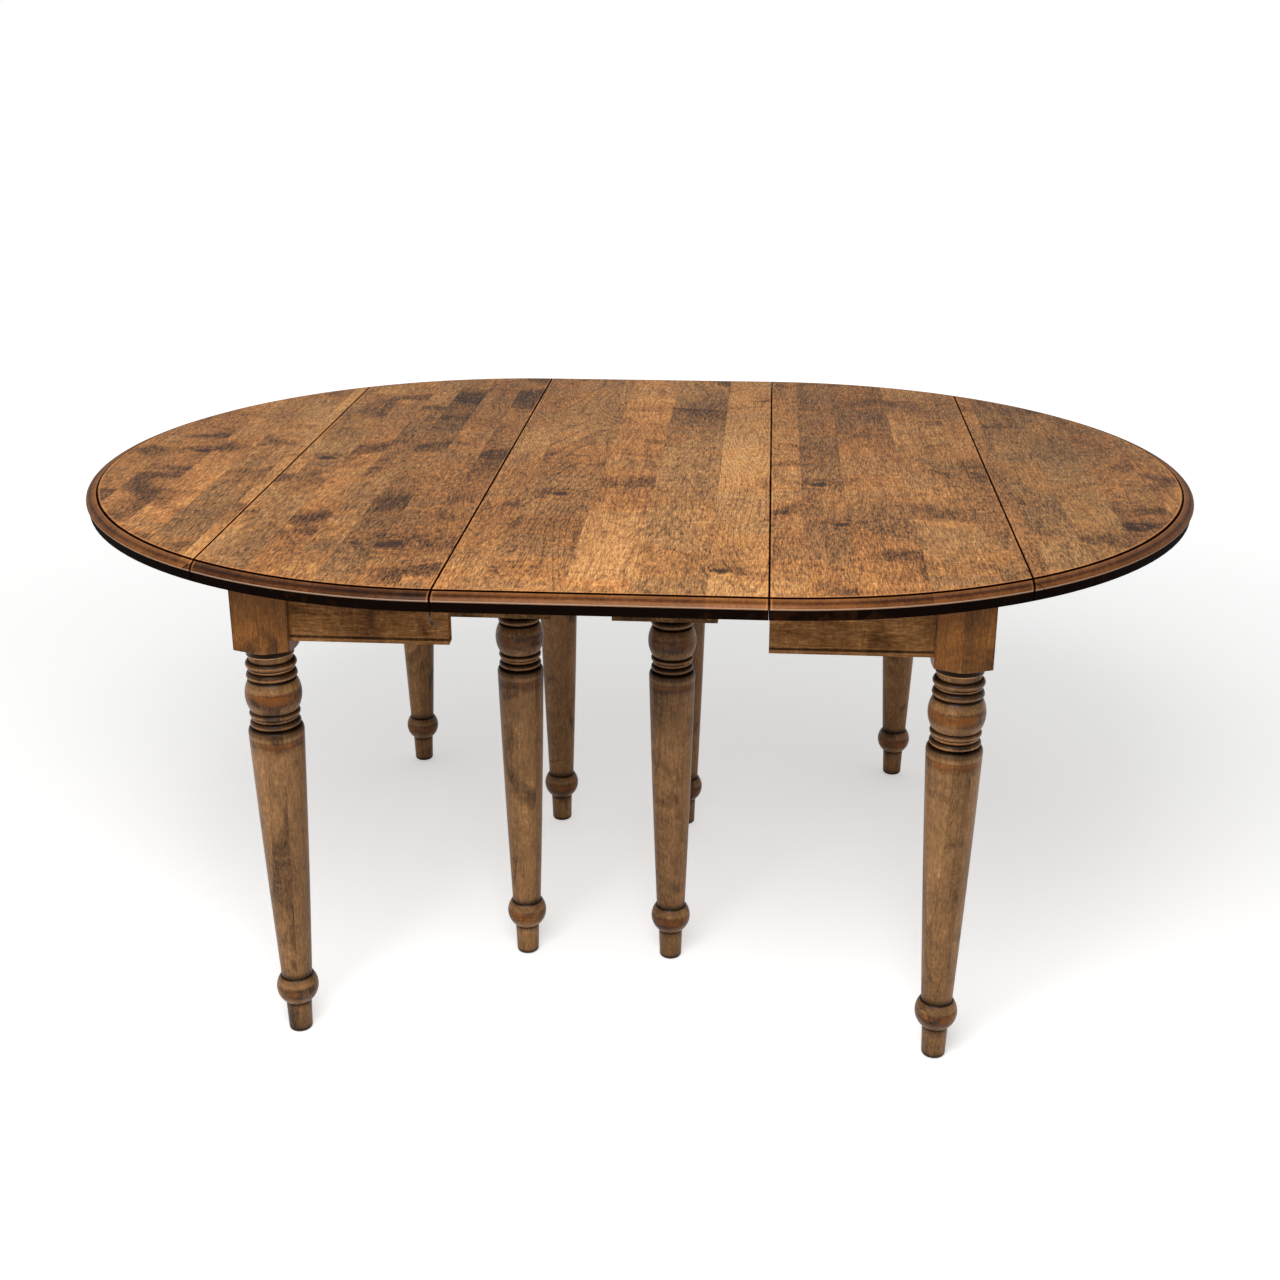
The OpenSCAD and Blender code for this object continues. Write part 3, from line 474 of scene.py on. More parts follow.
def top_wood(node, seed, tone, rim_tone, smudge, rings, ring_depth, stave_width, knots):
    """Stained boards with staves along Y, a moulded border and worn seams."""
    material, web = new_material(node + "_finish")
    place = web.place()
    stave = web.use(staves, Position=place, Width=stave_width, Seed=seed)
    figure = web.use(grain, Position=place, Shift=stave["Shift"], Rings=rings)
    marks = web.use(smudges, Position=place, Shift=stave["Shift"], Amount=smudge)
    edge = web.use(rim, Position=place)
    seam = web.use(seams, Position=place)
    ring = web.times(figure["Ring"], web.between(stave["Figure"], 0.35, 1.0))
    parts = [
        (stave["Tone"], 0.5, 0.22), (marks["Cloud"], 0.5, 0.20), (marks["Shade"], 0.5, 0.65),
        (figure["Streak"], 0.5, 0.34), (figure["Fibre"], 0.5, 0.38), (figure["Fine"], 0.5, 1.25),
        (ring, 0.12, -ring_depth), (figure["Speck"], 0.5, 0.42), (marks["Curl"], 0.5, 0.42),
        (marks["Glow"], 0.3, 0.11), (marks["Dark"], 0.3, -0.21), (marks["Swirl"], 0.1, -0.15),
        (stave["Glue Line"], 0.0, -0.07),
    ]
    eyes = brights = 0.0
    for across, along, size in knots:
        spot = web.use(knot, Position=place, Centre=within(node, across, along), Size=size)
        parts += [(spot["Halo"], 0.0, -0.20), (spot["Rings"], 0.0, -0.08),
                  (spot["Bright"], 0.0, 0.16)]
        eyes = web.larger(eyes, spot["Eye"])
        brights = web.larger(brights, spot["Bright"])
    tint = web.ramp(weigh(web, tone, parts), TOP_TONES)
    hue = web.blend(stave["Hue"], WARM_STAVE, COOL_STAVE)
    tint = web.blend(1.0, tint, hue, "MULTIPLY")
    tint = web.blend(marks["Dark"], tint, web.blend(1.0, tint, SMOKE, "MULTIPLY"))
    amber = web.times(web.larger(marks["Glow"], brights), 0.4)
    tint = web.blend(amber, tint, web.blend(1.0, tint, AMBER, "MULTIPLY"))
    rim_shade = weigh(web, rim_tone, [
        (marks["Cloud"], 0.5, 0.5), (figure["Streak"], 0.5, 0.16), (figure["Fibre"], 0.5, 0.2),
        (figure["Fine"], 0.5, 0.2), (marks["Curl"], 0.5, 0.22), (stave["Tone"], 0.5, 0.1),
        (edge["Cove"], 0.0, -0.17), (edge["Lip"], 0.0, 0.12),
    ])
    tint = web.blend(edge["Border"], tint, web.ramp(rim_shade, RIM_TONES))
    tint = web.blend(web.times(eyes, 0.85), tint, KNOT_DARK)
    tint = web.blend(web.times(edge["Worn"], 0.55), tint, RUBBED_EDGE)
    tint = web.blend(web.times(seam["Rubbed"], 0.5), tint, RUBBED_EDGE)
    band_shade = weigh(web, -0.07, [(marks["Cloud"], 0.4, 0.5), (figure["Streak"], 0.5, 0.3)])
    tint = web.blend(edge["Band"], tint, web.ramp(band_shade, RIM_TONES))
    # A pale line along the arris: wear and painted highlight.
    tint = web.blend(web.times(edge["Arris"], 0.55), tint, ARRIS_RUB_AND_HIGHLIGHT)
    # The quirk line is painted shade with dirt; the seams get dirt.
    shade_and_grime = web.larger(edge["Line"], seam["Dirt"])
    tint = web.blend(shade_and_grime, tint, SHADE_AND_GRIME_DARK)
    roughness = web.between(figure["Fibre"], 0.34, 0.52)
    roughness = web.between(edge["Border"], roughness, 0.34)
    roughness = web.between(shade_and_grime, roughness, 0.8)
    height = weigh(web, 0.5, [
        (figure["Fibre"], 0.5, 0.35), (figure["Fine"], 0.5, 0.25), (figure["Speck"], 0.5, 0.3),
        (marks["Curl"], 0.5, 0.2), (stave["Glue Line"], 0.0, -0.35),
    ])
    varnish = web.times(web.between(edge["Band"], 0.18, 0.04), web.minus(1.0, shade_and_grime))
    return finish_wood(web, material, tint, roughness, height, varnish)


LEG_TONES = [
    (0.0, paint(16, 6, 2)), (0.25, paint(63, 41, 22)), (0.5, paint(111, 79, 48)),
    (0.75, paint(149, 108, 68)), (1.0, paint(196, 149, 100)),
]
# The block's painted shade from the table top, and its warmer stain.
BLOCK_SHADE_AND_WARMTH = paint(234, 206, 154)
# Painted shade, with dirt, in the legs' grooves and on their upper faces.
TURNED_SHADE_AND_GRIME = paint(12, 4, 1)
# Amber stain in painted light, on the ball middles and below the crown.
TURNED_GLOW = paint(150, 86, 22)
# Wear and painted highlight on ring crests and fillet edges.
TURNED_RUB_AND_HIGHLIGHT = paint(190, 144, 102)
LEG_STAVE = 0.034
LEG_GLOSS = 0.06
# The share of Y in a leg's sideways coordinate keeps its staves askew, so no face shows one only.
LEG_SKEW = 0.93
LEG_MARKS = (2.6, 1.7, 2.6)
LATHE_WAVES = (34.0, 34.0, 170.0)


def turned_wood(name):
    """Upright grain on the legs, painted shade and dirt in the grooves, and amber, wear and painted highlights on
    the turned parts.
    """
    material, web = new_material(name)
    place = web.place()
    x, y, z = web.split(place)
    skewed = web.plus(x, web.times(y, LEG_SKEW))
    upright = web.join(skewed, z, y)
    stave = web.use(staves, Position=upright, Width=LEG_STAVE, Seed=4.3)
    figure = web.use(grain, Position=upright, Shift=stave["Shift"], Rings=10.0)
    marks = web.use(smudges, Position=web.vector("MULTIPLY", upright, LEG_MARKS),
                    Shift=stave["Shift"], Amount=0.85)
    # The legs' painted light and wear: below 0 painted shade and dirt, above 0 wear and painted highlight.
    turned = web.node("ShaderNodeAttribute", {}, attribute_name="painted_light_and_wear").outputs["Fac"]
    shade = weigh(web, 0.60, [
        (stave["Tone"], 0.5, 0.16), (marks["Cloud"], 0.5, 0.62), (figure["Streak"], 0.5, 0.22),
        (figure["Fibre"], 0.5, 0.26), (figure["Fine"], 0.5, 0.42), (figure["Ring"], 0.2, -0.04),
        (figure["Speck"], 0.5, 0.34), (marks["Dark"], 0.1, -0.22), (marks["Curl"], 0.5, 0.26),
        (marks["Swirl"], 0.1, -0.13), (marks["Glow"], 0.3, 0.08), (stave["Glue Line"], 0.0, -0.10),
    ])
    # The ball middles and the band below the crown: painted light, and wear from handling.
    lit_and_handled = web.times(web.fade(turned, 0.0, 0.25), web.fade(turned, 0.6, 0.5))
    lathe = web.stretched(place, LATHE_WAVES, detail=3.0)
    lathe = web.minus(web.times(lathe, 0.7), 0.66)
    shade = web.plus(shade, web.times(lit_and_handled, lathe))
    tint = web.ramp(shade, LEG_TONES)
    # The block is darker and warmer: painted shade from the table top, and a warmer stain.
    in_block = web.fade(z, (BLOCK_Z - 4) * MM, (BLOCK_Z + 4) * MM)
    tint = web.blend(in_block, tint, web.blend(1.0, tint, BLOCK_SHADE_AND_WARMTH, "MULTIPLY"))
    patchy = web.noise(place, scale=26.0, detail=4.0, roughness=0.7)
    # Amber there: an amber stain in painted light.
    glow = web.times(web.fade(turned, 0.0, 0.44), web.fade(turned, 0.62, 0.46))
    glow = web.times(glow, web.fade(patchy, 0.36, 0.56))
    amber = web.blend(web.fade(shade, 0.2, 0.7), web.blend(0.5, TURNED_GLOW, TURNED_SHADE_AND_GRIME),
                      TURNED_GLOW)
    tint = web.blend(web.times(glow, 0.92), tint, amber)
    # Near-black in the grooves and on upper faces: painted shade, with some dirt.
    shade_and_grime = web.fade(turned, -0.04, -0.95)
    tint = web.blend(web.times(shade_and_grime, 0.96), tint, TURNED_SHADE_AND_GRIME)
    # Pale lines on ring crests and fillet edges: wear and painted highlight.
    bright_edges = web.times(web.fade(turned, 0.58, 0.9), web.fade(patchy, 0.34, 0.6))
    tint = web.blend(web.times(bright_edges, 0.8), tint, TURNED_RUB_AND_HIGHLIGHT)
    roughness = web.between(figure["Fibre"], 0.30, 0.46)
    height = weigh(web, 0.5, [
        (figure["Fibre"], 0.5, 0.4), (figure["Speck"], 0.5, 0.3), (figure["Streak"], 0.5, 0.3),
        (stave["Glue Line"], 0.0, -0.3),
    ])
    varnish = web.times(web.between(lit_and_handled, 0.20, 0.28), web.minus(1.0, web.times(shade_and_grime, 0.8)))
    return finish_wood(web, material, tint, roughness, height, varnish, LEG_GLOSS)


# Wear and painted highlight on the aprons' bead.
BEAD_RUB_AND_HIGHLIGHT = paint(158, 112, 70)
APRON_TONES = [
    (0.0, paint(20, 8, 3)), (0.25, paint(58, 35, 15)), (0.5, paint(102, 67, 34)),
    (0.75, paint(144, 100, 58)), (1.0, paint(194, 144, 92)),
]
APRON_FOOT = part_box("left_front_apron")[0].z
BEAD_H = 6 * MM
BOARD_MARKS = (2.2, 2.0, 2.2)


def board_wood(name, tones, tone, along, stave_width, seed, smudge=0.5, dulled=0.42, beaded=False):
    """A plain stained board whose grain runs along X, Y or Z, with a bead at its foot or not."""
    material, web = new_material(name)
    x, y, z = web.split(web.place())
    turned = {"X": (z, x, y), "Y": (x, y, z), "Z": (x, z, y)}[along]
    place = web.join(*turned)
    stave = web.use(staves, Position=place, Width=stave_width, Seed=seed)
    figure = web.use(grain, Position=place, Shift=stave["Shift"], Rings=12.0)
    marks = web.use(smudges, Position=web.vector("MULTIPLY", place, BOARD_MARKS),
                    Shift=stave["Shift"], Amount=smudge)
    shade = weigh(web, tone, [
        (stave["Tone"], 0.5, 0.20), (marks["Cloud"], 0.5, 0.80), (figure["Streak"], 0.5, 0.26),
        (figure["Fibre"], 0.5, 0.34), (figure["Fine"], 0.5, 0.48), (figure["Ring"], 0.2, -0.06),
        (figure["Speck"], 0.5, 0.44), (marks["Dark"], 0.1, -0.30), (marks["Curl"], 0.5, 0.55),
        (marks["Swirl"], 0.1, -0.06), (stave["Glue Line"], 0.0, -0.08),
    ])
    tint = web.ramp(shade, tones)
    # The bead: wear and painted highlight on its crest and lip, painted shade in its groove.
    if beaded:
        rise = web.minus(z, APRON_FOOT + BEAD_H)
        groove = web.ridge(rise, 1.2 * MM, 2.2 * MM, 0.8 * MM)
        crest = web.ridge(rise, -2.0 * MM, 1.8 * MM, 0.4 * MM)
        lip = web.ridge(rise, 5.0 * MM, 1.4 * MM, 0.2 * MM)
        tint = web.blend(web.times(web.larger(crest, lip), 0.5), tint, BEAD_RUB_AND_HIGHLIGHT)
        tint = web.blend(web.times(groove, 0.8), tint, SHADE_AND_GRIME_DARK)
    roughness = web.between(figure["Fibre"], dulled - 0.06, dulled + 0.08)
    height = weigh(web, 0.5, [
        (figure["Fibre"], 0.5, 0.35), (figure["Speck"], 0.5, 0.3), (marks["Curl"], 0.5, 0.2),
        (stave["Glue Line"], 0.0, -0.3),
    ])
    varnish = web.between(figure["Fibre"], 0.06, 0.14)
    return finish_wood(web, material, tint, roughness, height, varnish)


INNER_TONES = [
    (0.0, paint(40, 24, 12)), (0.3, paint(96, 68, 40)), (0.55, paint(142, 106, 66)),
    (0.8, paint(174, 136, 92)), (1.0, paint(202, 168, 122)),
]
METAL_RELIEF = 0.05 * MM


def old_metal(name, bright, dull, roughness):
    """Metal with a dulled, spotted skin."""
    material, web = new_material(name)
    place = web.place()
    cloud = web.noise(place, scale=60.0, detail=3.0)
    spots = web.fade(web.noise(place, scale=420.0, detail=2.0), 0.55, 0.7)
    age = web.larger(web.fade(cloud, 0.35, 0.65), spots)
    tint = web.blend(age, bright, dull)
    sheen = web.between(age, roughness, roughness + 0.25)
    height = web.noise(place, scale=900.0, detail=2.0)
    bump = web.node("ShaderNodeBump",
                    {"Height": height, "Distance": METAL_RELIEF, "Strength": 0.6})
    inputs = {"Base Color": tint, "Roughness": sheen, "Normal": bump.outputs[0]}
    shader = web.node("ShaderNodeBsdfPrincipled", inputs)
    shader.inputs["Metallic"].default_value = 0.9
    web.node("ShaderNodeOutputMaterial", {"Surface": shader.outputs[0]})
    return material


# ---- carried-over pieces ----

EASED = 0.7 * MM
WELDED = 0.002 * MM
SHARP_FROM = math.radians(40)


def dress(node, material, eased=EASED):
    """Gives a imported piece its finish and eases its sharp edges."""
    piece = frame["nodes"][node]
    for place in range(len(piece.data.materials)):
        piece.data.materials[place] = material
    if not eased:
        return
    weld = piece.modifiers.new("weld", "WELD")
    weld.merge_threshold = WELDED
    bevel = piece.modifiers.new("eased_edges", "BEVEL")
    bevel.width = eased
    bevel.segments = 2
    bevel.limit_method = "ANGLE"
    bevel.angle_limit = SHARP_FROM
    piece.modifiers.new("normals", "WEIGHTED_NORMAL").keep_sharp = True


# ---- turned legs ----

# Heights above the floor and radii, in millimetres, with the low one of a pair first. The middle
# legs are slimmer throughout.
BLOCK_Z = 624
COLLAR_Z = 602.5
RINGS_ABOVE = ((591, 597, 602.5), (575.5, 579.5, 587))
RINGS_BELOW = ((517, 522.3, 526.8), (503, 507, 512.5))
FILLETS = ((587.2, 591), (512.7, 517))
BALL = (526.8, 574.2)
CROWN = (493.5, 501.5)
ANKLE = (51, 95)
ANKLE_RADIUS = 31
ANKLE_NECK = 22.6
FOOT = (17.5, 19)
TOE_ROUND = 5
RING_RADIUS = 35.8
GROOVE_RADIUS = 30.3
CORNER_TAPER = 39.3
CORNER_BALL = 39.8
MIDDLE_TAPER = 35.4
MIDDLE_BALL = 36.8
TAPER_SWELL = 0.8
STEP_OUT = 2.4
BALL_NECK_OUT = 2.8


# The third number of each leg point is painted light and wear: below 0 painted shade and dirt,
# above 0 wear and a painted highlight.
def ring(levels, inner, outer, steps=9):
    """A turned ring of (radius, height, light and wear) points: wear and painted highlight on its crest, painted
    shade above it.
    """
    low, crest, high = levels
    points = []
    for i in range(steps + 1):
        t = 1 - i / steps
        z = crest - (crest - low) * t
        painted_light_and_wear = 0.9 - 1.1 * min(1.0, t * 2.2) - 0.7 * t ** 2
        points.append((inner + (outer - inner) * math.sqrt(1 - t * t), z, painted_light_and_wear))
    for i in range(1, steps + 1):
        t = i / steps
        z = crest + (high - crest) * t
        painted_light_and_wear = 0.9 - 1.5 * min(1.0, t * 4) - 0.35 * t ** 2
        points.append((inner + (outer - inner) * math.sqrt(1 - t ** 1.6), z, painted_light_and_wear))
    return points


def ball(low, high, r_low, r_high, r_mid, steps=30, end_shadow=6):
    """A turned ball: painted shadow at its ends, painted shade above, amber and painted light round its middle."""
    a0, a1 = math.acos(r_low / r_mid), math.acos(r_high / r_mid)
    lift = (high - low) / (math.sin(a0) + math.sin(a1))
    centre = low + lift * math.sin(a0)
    points = []
    for i in range(steps + 1):
        a = -a0 + (a0 + a1) * i / steps
        z = centre + lift * math.sin(a)
        share = (z - low) / (high - low)
        painted_light_and_wear = 0.40 * math.exp(-((share - 0.53) / 0.22) ** 2)
        painted_light_and_wear -= 0.50 * max(0.0, share - 0.62) / 0.38
        painted_light_and_wear -= max(0.0, 1 - min(z - low, high - z) / end_shadow * 2.2) ** 1.5
        points.append((r_mid * math.cos(a), z, painted_light_and_wear))
    return points


def curve_through(points, steps=5):
    """A smooth curve through a few (radius, height, light and wear) points."""
    out = []
    for i in range(len(points) - 1):
        before = points[max(i - 1, 0)]
        after = points[min(i + 2, len(points) - 1)]
        for k in range(steps):
            t = k / steps
            out.append(tuple(
                0.5 * (2 * b + (c - a) * t + (2 * a - 5 * b + 4 * c - d) * t * t
                       + (3 * b - a - 3 * c + d) * t ** 3)
                for a, b, c, d in zip(before, points[i], points[i + 1], after)
            ))
    out.append(points[-1])
    return out


def turned_part(r_taper, r_ball):
    """A leg's outline from the floor to the collar under its block."""
    slim = r_taper / CORNER_TAPER
    groove, crest = GROOVE_RADIUS * slim, RING_RADIUS * slim
    step = groove + STEP_OUT * slim
    ball_neck = groove + BALL_NECK_OUT
    # The toe is painted dark, and the foot darkens again as painted shade where it meets the ankle ball.
    toe = [
        (FOOT[0] - TOE_ROUND * (1 - math.sin(a)), TOE_ROUND * (1 - math.cos(a)), -0.7)
        for a in (math.pi / 2 * i / 6 for i in range(7))
    ]
    foot = [(FOOT[0] + (FOOT[1] - FOOT[0]) * t, TOE_ROUND + (ANKLE[0] - TOE_ROUND) * t,
             -0.35 * (1 - t) - 0.9 * t ** 8) for t in (i / 10 for i in range(1, 11))]
    ankle = ball(*ANKLE, FOOT[1] + 1, ANKLE_NECK + 0.6, ANKLE_RADIUS, end_shadow=5)
    # The taper: painted shade at both ends, by the ankle ball and the crown, and a band of amber and
    # painted light just below the crown.
    taper = []
    for i in range(41):
        t = i / 40
        r = ANKLE_NECK + (r_taper - ANKLE_NECK) * t + TAPER_SWELL * math.sin(math.pi * t)
        amber = 0.40 * math.exp(-((t - 0.975) / 0.022) ** 2)
        taper.append((r, ANKLE[1] + (CROWN[0] - ANKLE[1]) * t,
                      amber - 0.8 * (1 - t) ** 40 - 0.45 * t ** 90))
    # The crown darkens towards its top: painted shade from the rings and the table top above it.
    crown = []
    for i in range(11):
        a = math.pi / 2 * i / 10
        r = crest - 1 + (r_taper - crest + 1) * math.cos(a)
        crown.append((r, CROWN[0] + (CROWN[1] - CROWN[0]) * math.sin(a),
                      -0.5 - 0.5 * math.sin(a) ** 3))
    crown.append((groove, CROWN[1] + 0.2, -1.0))

    def fillet(low, high):
        """A square step, its groove painted shade and its edge worn, with a painted highlight."""
        return [(groove, low, -1.0), (groove, low + 1, -1.0), (step, low + 1.3, 0.2),
                (step, high - 0.8, 0.85), (step, high, 0.3)]

    # The collar: painted shade in its groove, and a pale line of wear and painted highlight near its top.
    collar = [
        (groove, COLLAR_Z, -1.0), (groove + 0.3, COLLAR_Z + 1.2, -0.3),
        (groove + 0.9, COLLAR_Z + 4.5, -0.12), (groove + 1.9, COLLAR_Z + 7.8, 0.0),
        (groove + 2.9, COLLAR_Z + 8.8, 0.8), (groove + 2.9, COLLAR_Z + 10.2, 0.9),
        (groove + 2.5, COLLAR_Z + 10.6, -0.7),
    ]
    above, below = RINGS_ABOVE, RINGS_BELOW
    return (
        toe + foot + ankle + taper + crown + ring(below[1], groove, crest)
        + fillet(*FILLETS[1]) + ring(below[0], groove, crest)
        + ball(*BALL, ball_neck, ball_neck, r_ball) + ring(above[1], groove, crest)
        + fillet(*FILLETS[0]) + ring(above[0], groove, crest) + collar
    )


def shoulder(half, slim):
    """The undercut and rounding below the block, from the collar out past its corners, with painted shadow in the
    undercut.
    """
    start = (GROOVE_RADIUS + STEP_OUT) * slim
    return curve_through([
        (start, BLOCK_Z - 10.5, -1.0), (start + 0.9, BLOCK_Z - 8, -1.0),
        (half - 2, BLOCK_Z - 4.2, -1.0), (half + 0.3, BLOCK_Z - 1.8, -0.6),
        (half + 5, BLOCK_Z + 0.6, -0.2), (half * 1.44, BLOCK_Z + 4.2, 0.0),
    ])


def height_at(curve, radius):
    """The height at which a rising curve reaches a radius."""
    for (r0, z0, _), (r1, z1, _) in zip(curve, curve[1:]):
        if r1 >= radius:
            return z0 + (z1 - z0) * max(0.0, radius - r0) / (r1 - r0)
    return curve[-1][1]


def radius_at(curve, height):
    """The radius of a rising curve at a height, and its painted light and wear there."""
    for (r0, z0, s0), (r1, z1, s1) in zip(curve, curve[1:]):
        if z1 >= height:
            t = max(0.0, height - z0) / max(z1 - z0, 1e-6)
            return r0 + (r1 - r0) * t, s0 + (s1 - s0) * t
    return curve[-1][0], curve[-1][2]


CORNER_POWER = 70
CORNER_OFFSETS = (0.5, 1.2, 2.2)
CORNER_FROM = 1.36
CORNER_SPAN = 0.04
CORNER_WORN = 0.45
SHOULDER_ROWS = 12
BLOCK_SHARES = (0.004, 0.02, 0.06, 0.25, 0.5, 0.75, 0.94, 0.985, 1.0)
TOP_EASED = 0.6
LEG_SHARP_FROM = math.radians(38)


def leg_angles():
    """Angles round a leg, close together at the corners of its block."""
    angles = {round(3.75 * i, 3) for i in range(96)}
    for corner in (45, 135, 225, 315):
        for offset in CORNER_OFFSETS:
            angles |= {corner - offset, corner + offset}
    return sorted(math.radians(a) for a in angles)


def turn_leg(name, node, r_taper, r_ball, material):
    """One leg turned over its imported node: lathe below, square block above."""
    low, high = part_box(node)
    centre = (low + high) / 2
    half = (high.x - low.x) / 2 / MM
    top = high.z / MM
    lower = turned_part(r_taper, r_ball)
    flare = shoulder(half, r_taper / CORNER_TAPER)
    angles = leg_angles()
    rows = []
    for r, z, painted_light_and_wear in lower:
        rows.append([(r, z, painted_light_and_wear)] * len(angles))
    square = [
        half * (abs(math.cos(a)) ** CORNER_POWER + abs(math.sin(a)) ** CORNER_POWER)
        ** (-1 / CORNER_POWER) for a in angles
    ]
    corner = [max(0.0, (s / half - CORNER_FROM) / CORNER_SPAN) for s in square]
    meets = [height_at(flare, s) for s in square]
    for k in range(1, SHOULDER_ROWS + 1):
        row = []
        for meet in meets:
            z = flare[0][1] + (meet - flare[0][1]) * k / SHOULDER_ROWS
            r, painted_light_and_wear = radius_at(flare, z)
            row.append((r, z, painted_light_and_wear + (CORNER_WORN if k == SHOULDER_ROWS else 0)))
        rows.append(row)
    for share in BLOCK_SHARES:
        rows.append([
            (s - (TOP_EASED if share == 1.0 else 0), meet + (top - meet) * share, 0.5 * c - 0.1)
            for s, meet, c in zip(square, meets, corner)
        ])
    mesh = bmesh.new()
    # Each vertex keeps its painted light and wear, for the legs' material.
    painted_light_and_wear_layer = mesh.verts.layers.float.new("painted_light_and_wear")
    grid = []
    for row in rows:
        line = []
        for (r, z, painted_light_and_wear), a in zip(row, angles):
            place = (centre.x + r * MM * math.cos(a), centre.y + r * MM * math.sin(a), z * MM)
            vert = mesh.verts.new(place)
            vert[painted_light_and_wear_layer] = painted_light_and_wear
            line.append(vert)
        grid.append(line)
    count = len(angles)
    for lower_row, upper_row in zip(grid, grid[1:]):
        for i in range(count):
            j = (i + 1) % count
            mesh.faces.new((lower_row[i], lower_row[j], upper_row[j], upper_row[i]))
    mesh.faces.new(list(reversed(grid[0])))
    mesh.faces.new(grid[-1])
    for face in mesh.faces:
        face.smooth = True
    data = bpy.data.meshes.new(name)
    mesh.to_mesh(data)
    mesh.free()
    data.set_sharp_from_angle(angle=LEG_SHARP_FROM)
    data.materials.append(material)
    leg = bpy.data.objects.new(name, data)
    bpy.context.scene.collection.objects.link(leg)
    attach(leg, BODY_OF[node])
    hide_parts(node)


# ---- finishes on the pieces ----

leg_finish = turned_wood("leg_wood_finish")
for side in ("left", "right"):
    for end in ("front", "back"):
        turn_leg(f"{side}_{end}_turned_leg", f"{side}_{end}_leg", CORNER_TAPER, CORNER_BALL,
                 leg_finish)
        turn_leg(f"middle_{end}_{side}_turned_leg", f"middle_leg_{end}_{side}", MIDDLE_TAPER,
                 MIDDLE_BALL, leg_finish)

# Each board of the top has its own tones, stain and staves. Its knots are given as shares of its
# width and length, and a size in metres.
boards = {
    "left_drop_leaf": dict(
        seed=11.2, tone=0.56, rim_tone=0.52, smudge=0.95, rings=32.0, ring_depth=0.07,
        stave_width=0.062, knots=[(0.46, 0.53, 0.012)],
    ),
    "left_half_top": dict(
        seed=3.1, tone=0.50, rim_tone=0.30, smudge=1.0, rings=32.0, ring_depth=0.07,
        stave_width=0.058, knots=[(0.74, 0.153, 0.017), (0.18, 0.50, 0.012)],
    ),
    "centre_leaf": dict(
        seed=0.35, tone=0.56, rim_tone=0.50, smudge=0.62, rings=36.0, ring_depth=0.21,
        stave_width=0.088, knots=[(0.85, 0.088, 0.010), (0.26, 0.36, 0.013)],
    ),
    "right_half_top": dict(
        seed=7.7, tone=0.455, rim_tone=0.42, smudge=0.85, rings=36.0, ring_depth=0.18,
        stave_width=0.082, knots=[(0.29, 0.26, 0.010), (0.21, 0.42, 0.012)],
    ),
    "right_drop_leaf": dict(
        seed=17.9, tone=0.48, rim_tone=0.46, smudge=0.85, rings=34.0, ring_depth=0.10,
        stave_width=0.066, knots=[(0.56, 0.22, 0.012)],
    ),
}
for node, given in boards.items():
    dress(node, top_wood(node, **given))

apron_x = board_wood("apron_finish", APRON_TONES, tone=0.63, along="X", stave_width=0.12,
                     seed=2.2, beaded=True)
apron_y = board_wood("end_apron_finish", APRON_TONES, tone=0.63, along="Y", stave_width=0.12,
                     seed=5.2, beaded=True)
inner_x = board_wood("runner_finish", INNER_TONES, tone=0.45, along="X", stave_width=0.09,
                     seed=1.4, dulled=0.6)
inner_y = board_wood("cross_board_finish", INNER_TONES, tone=0.28, along="Y", stave_width=0.09,
                     seed=8.4, dulled=0.6)
prop_wood = board_wood("prop_finish", APRON_TONES, tone=0.5, along="X", stave_width=0.05,
                       seed=3.4)
steel = old_metal("steel_finish", paint(150, 148, 142), paint(84, 78, 70), 0.35)
iron = old_metal("iron_finish", paint(96, 94, 90), paint(44, 40, 37), 0.5)
brass = old_metal("brass_finish", paint(176, 146, 88), paint(96, 76, 48), 0.35)

for side in ("left", "right"):
    dress(f"{side}_front_apron", apron_x)
    dress(f"{side}_back_apron", apron_x)
    dress(f"{side}_end_apron", apron_y)
    dress(f"{side}_runners", inner_x)
    dress(f"{side}_corner_braces", inner_x)
    dress(f"{side}_glue_blocks", inner_x)
    dress(f"{side}_leaf_props", prop_wood)
    dress(f"cross_board_{side}", inner_y)
    for part in ("hinge_plates", "hinge_screws", "leaf_flaps", "flap_screws"):
        dress(f"{side}_{part}", brass, 0)
    for part in ("runner_screws", "leg_bolts", "bolt_nuts", "hinge_pins", "prop_brackets",
                 "prop_screws", "prop_pins"):
        dress(f"{side}_{part}", steel, 0)
dress("middle_runners", inner_x)
for node in ("runner_stop_pins", "middle_leg_screws", "middle_runner_screws"):
    dress(node, steel, 0)
for node in ("catch_eye", "hook_eye", "leaf_hook"):
    dress(node, iron, 0)


# ---- floor, sky and light ----

OWN_WHITE = 0.43
FLOOR_TINT = paint(226, 225, 222)
FLOOR_TINT_SEEN = paint(237, 237, 236)
FLOOR_REACH = 90
SKY_SIDES = 0.52
SKY_OVERHEAD = 0.44
KEY_PLACE = (-0.2, -1.8, 2.3)
KEY_WIDTH = 1.6
KEY_POWER = 63


def camera_sees(web):
    """1 for what the camera sees directly, in a mirror or through glass."""
    path = web.node("ShaderNodeLightPath", {}).outputs
    seen = web.larger(path["Is Camera Ray"], path["Is Glossy Ray"])
    return web.larger(seen, path["Is Transmission Ray"])


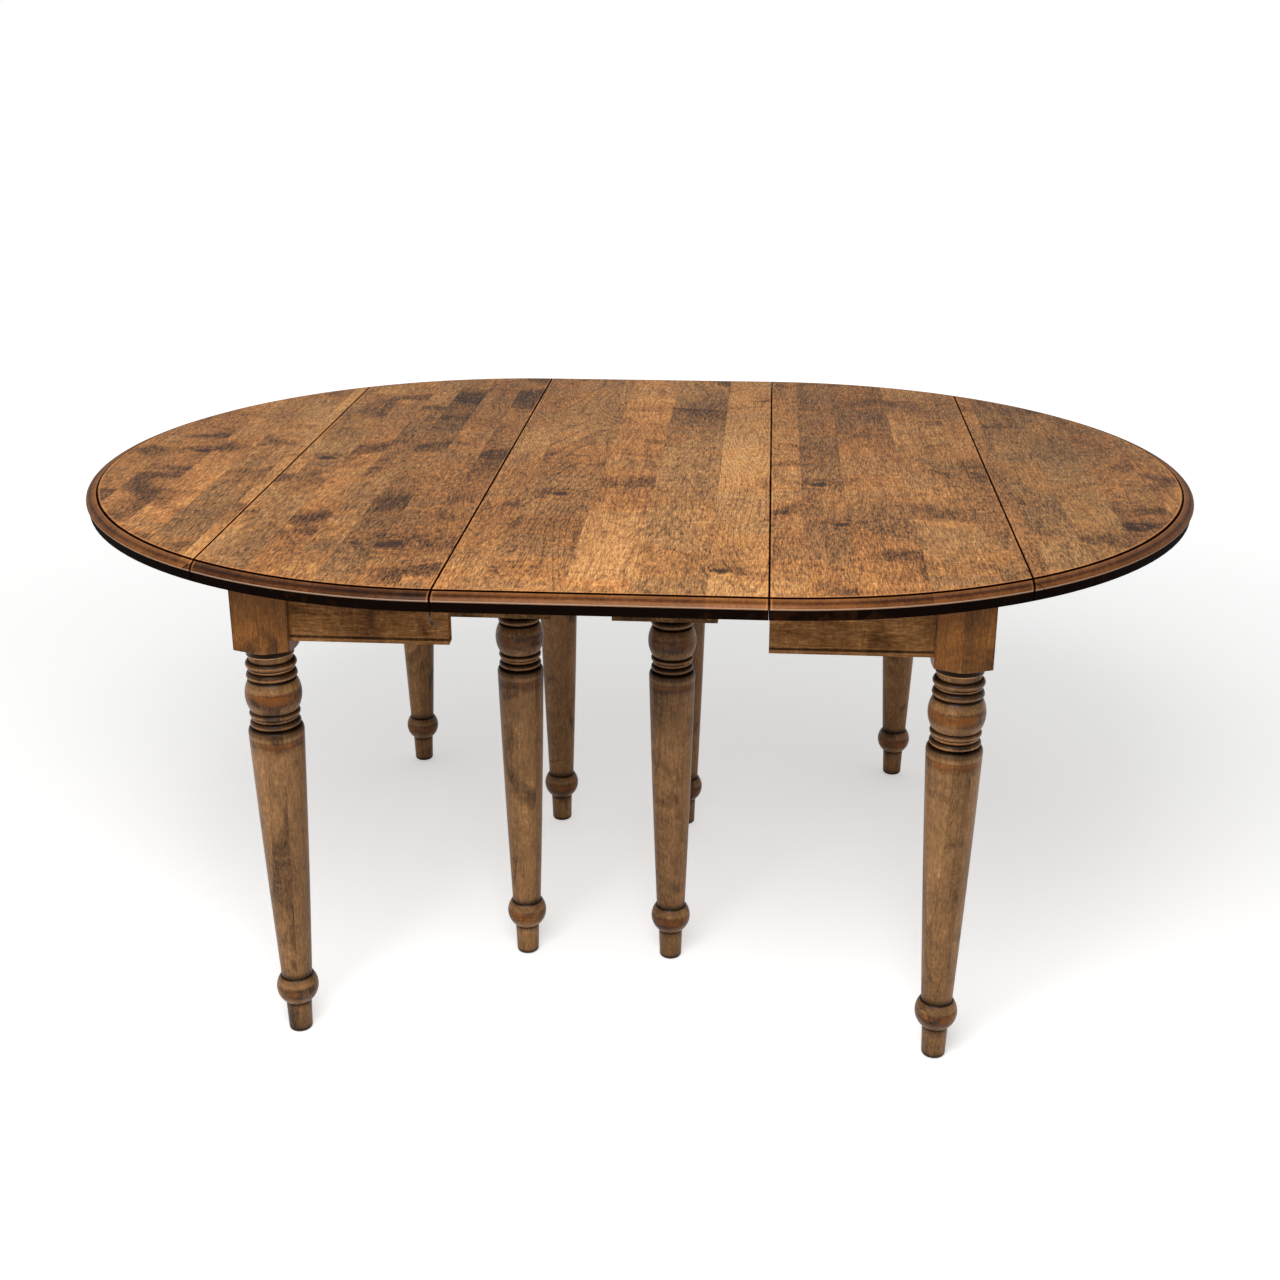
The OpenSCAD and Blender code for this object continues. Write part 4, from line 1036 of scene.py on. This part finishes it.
def lay_floor():
    """A pale floor. What the camera sees of it is partly its own white, so its shadow is light."""
    material, web = new_material("pale_floor")
    seen = camera_sees(web)
    tint = web.blend(seen, FLOOR_TINT, FLOOR_TINT_SEEN)
    matt = web.node("ShaderNodeBsdfDiffuse", {"Color": tint}).outputs[0]
    away = web.node("ShaderNodeVectorMath", {0: web.place()}, operation="LENGTH").outputs["Value"]
    # Painted light: the floor's own white is a little stronger at the table's middle and weaker
    # about 0.9 m out, shaping its shadow; from 1.3 m out it rises towards 0.75.
    under = web.between(web.fade(away, 0.1, 0.9), OWN_WHITE + 0.05, OWN_WHITE - 0.04)
    own = web.between(web.fade(away, 1.3, 4.5), under, 0.75)
    own = web.times(seen, own)
    white = web.node("ShaderNodeEmission", {"Color": (1, 1, 1, 1), "Strength": own}).outputs[0]
    surface = web.node("ShaderNodeAddShader", {0: matt, 1: white}).outputs[0]
    web.node("ShaderNodeOutputMaterial", {"Surface": surface})
    data = bpy.data.meshes.new("floor")
    corners = [(FLOOR_REACH * x, FLOOR_REACH * y, 0)
               for x, y in ((-1, -1), (1, -1), (1, 1), (-1, 1))]
    data.from_pydata(corners, [], [(0, 1, 2, 3)])
    data.materials.append(material)
    floor = bpy.data.objects.new("floor", data)
    bpy.context.scene.collection.objects.link(floor)


def set_sky(level_side, overhead):
    """Soft light from all round, a little weaker overhead, and a white background."""
    world = bpy.data.worlds.new("studio")
    world.use_nodes = True
    world.node_tree.nodes.clear()
    web = Web(world.node_tree)
    toward = web.node("ShaderNodeTexCoord", {}).outputs["Generated"]
    climb = web.fade(web.split(toward)[2], 0.0, 0.85)
    level = web.between(camera_sees(web), web.between(climb, level_side, overhead), 1.0)
    sky = web.node("ShaderNodeBackground", {"Color": (1, 1, 1, 1), "Strength": level})
    web.node("ShaderNodeOutputWorld", {"Surface": sky.outputs[0]})
    bpy.context.scene.world = world


def hang_lamp(name, place, aim, width, power):
    """A square soft lamp that hangs at a place and shines at a point."""
    lamp = bpy.data.lights.new(name, "AREA")
    lamp.energy = power
    lamp.size = width
    shown = bpy.data.objects.new(name, lamp)
    shown.location = place
    shown.rotation_euler = (Vector(aim) - Vector(place)).to_track_quat("-Z", "Y").to_euler()
    bpy.context.scene.collection.objects.link(shown)


lay_floor()
set_sky(SKY_SIDES, SKY_OVERHEAD)
table_middle = (0, 0, TOP_Z)
hang_lamp("key_lamp", KEY_PLACE, table_middle, KEY_WIDTH, KEY_POWER)
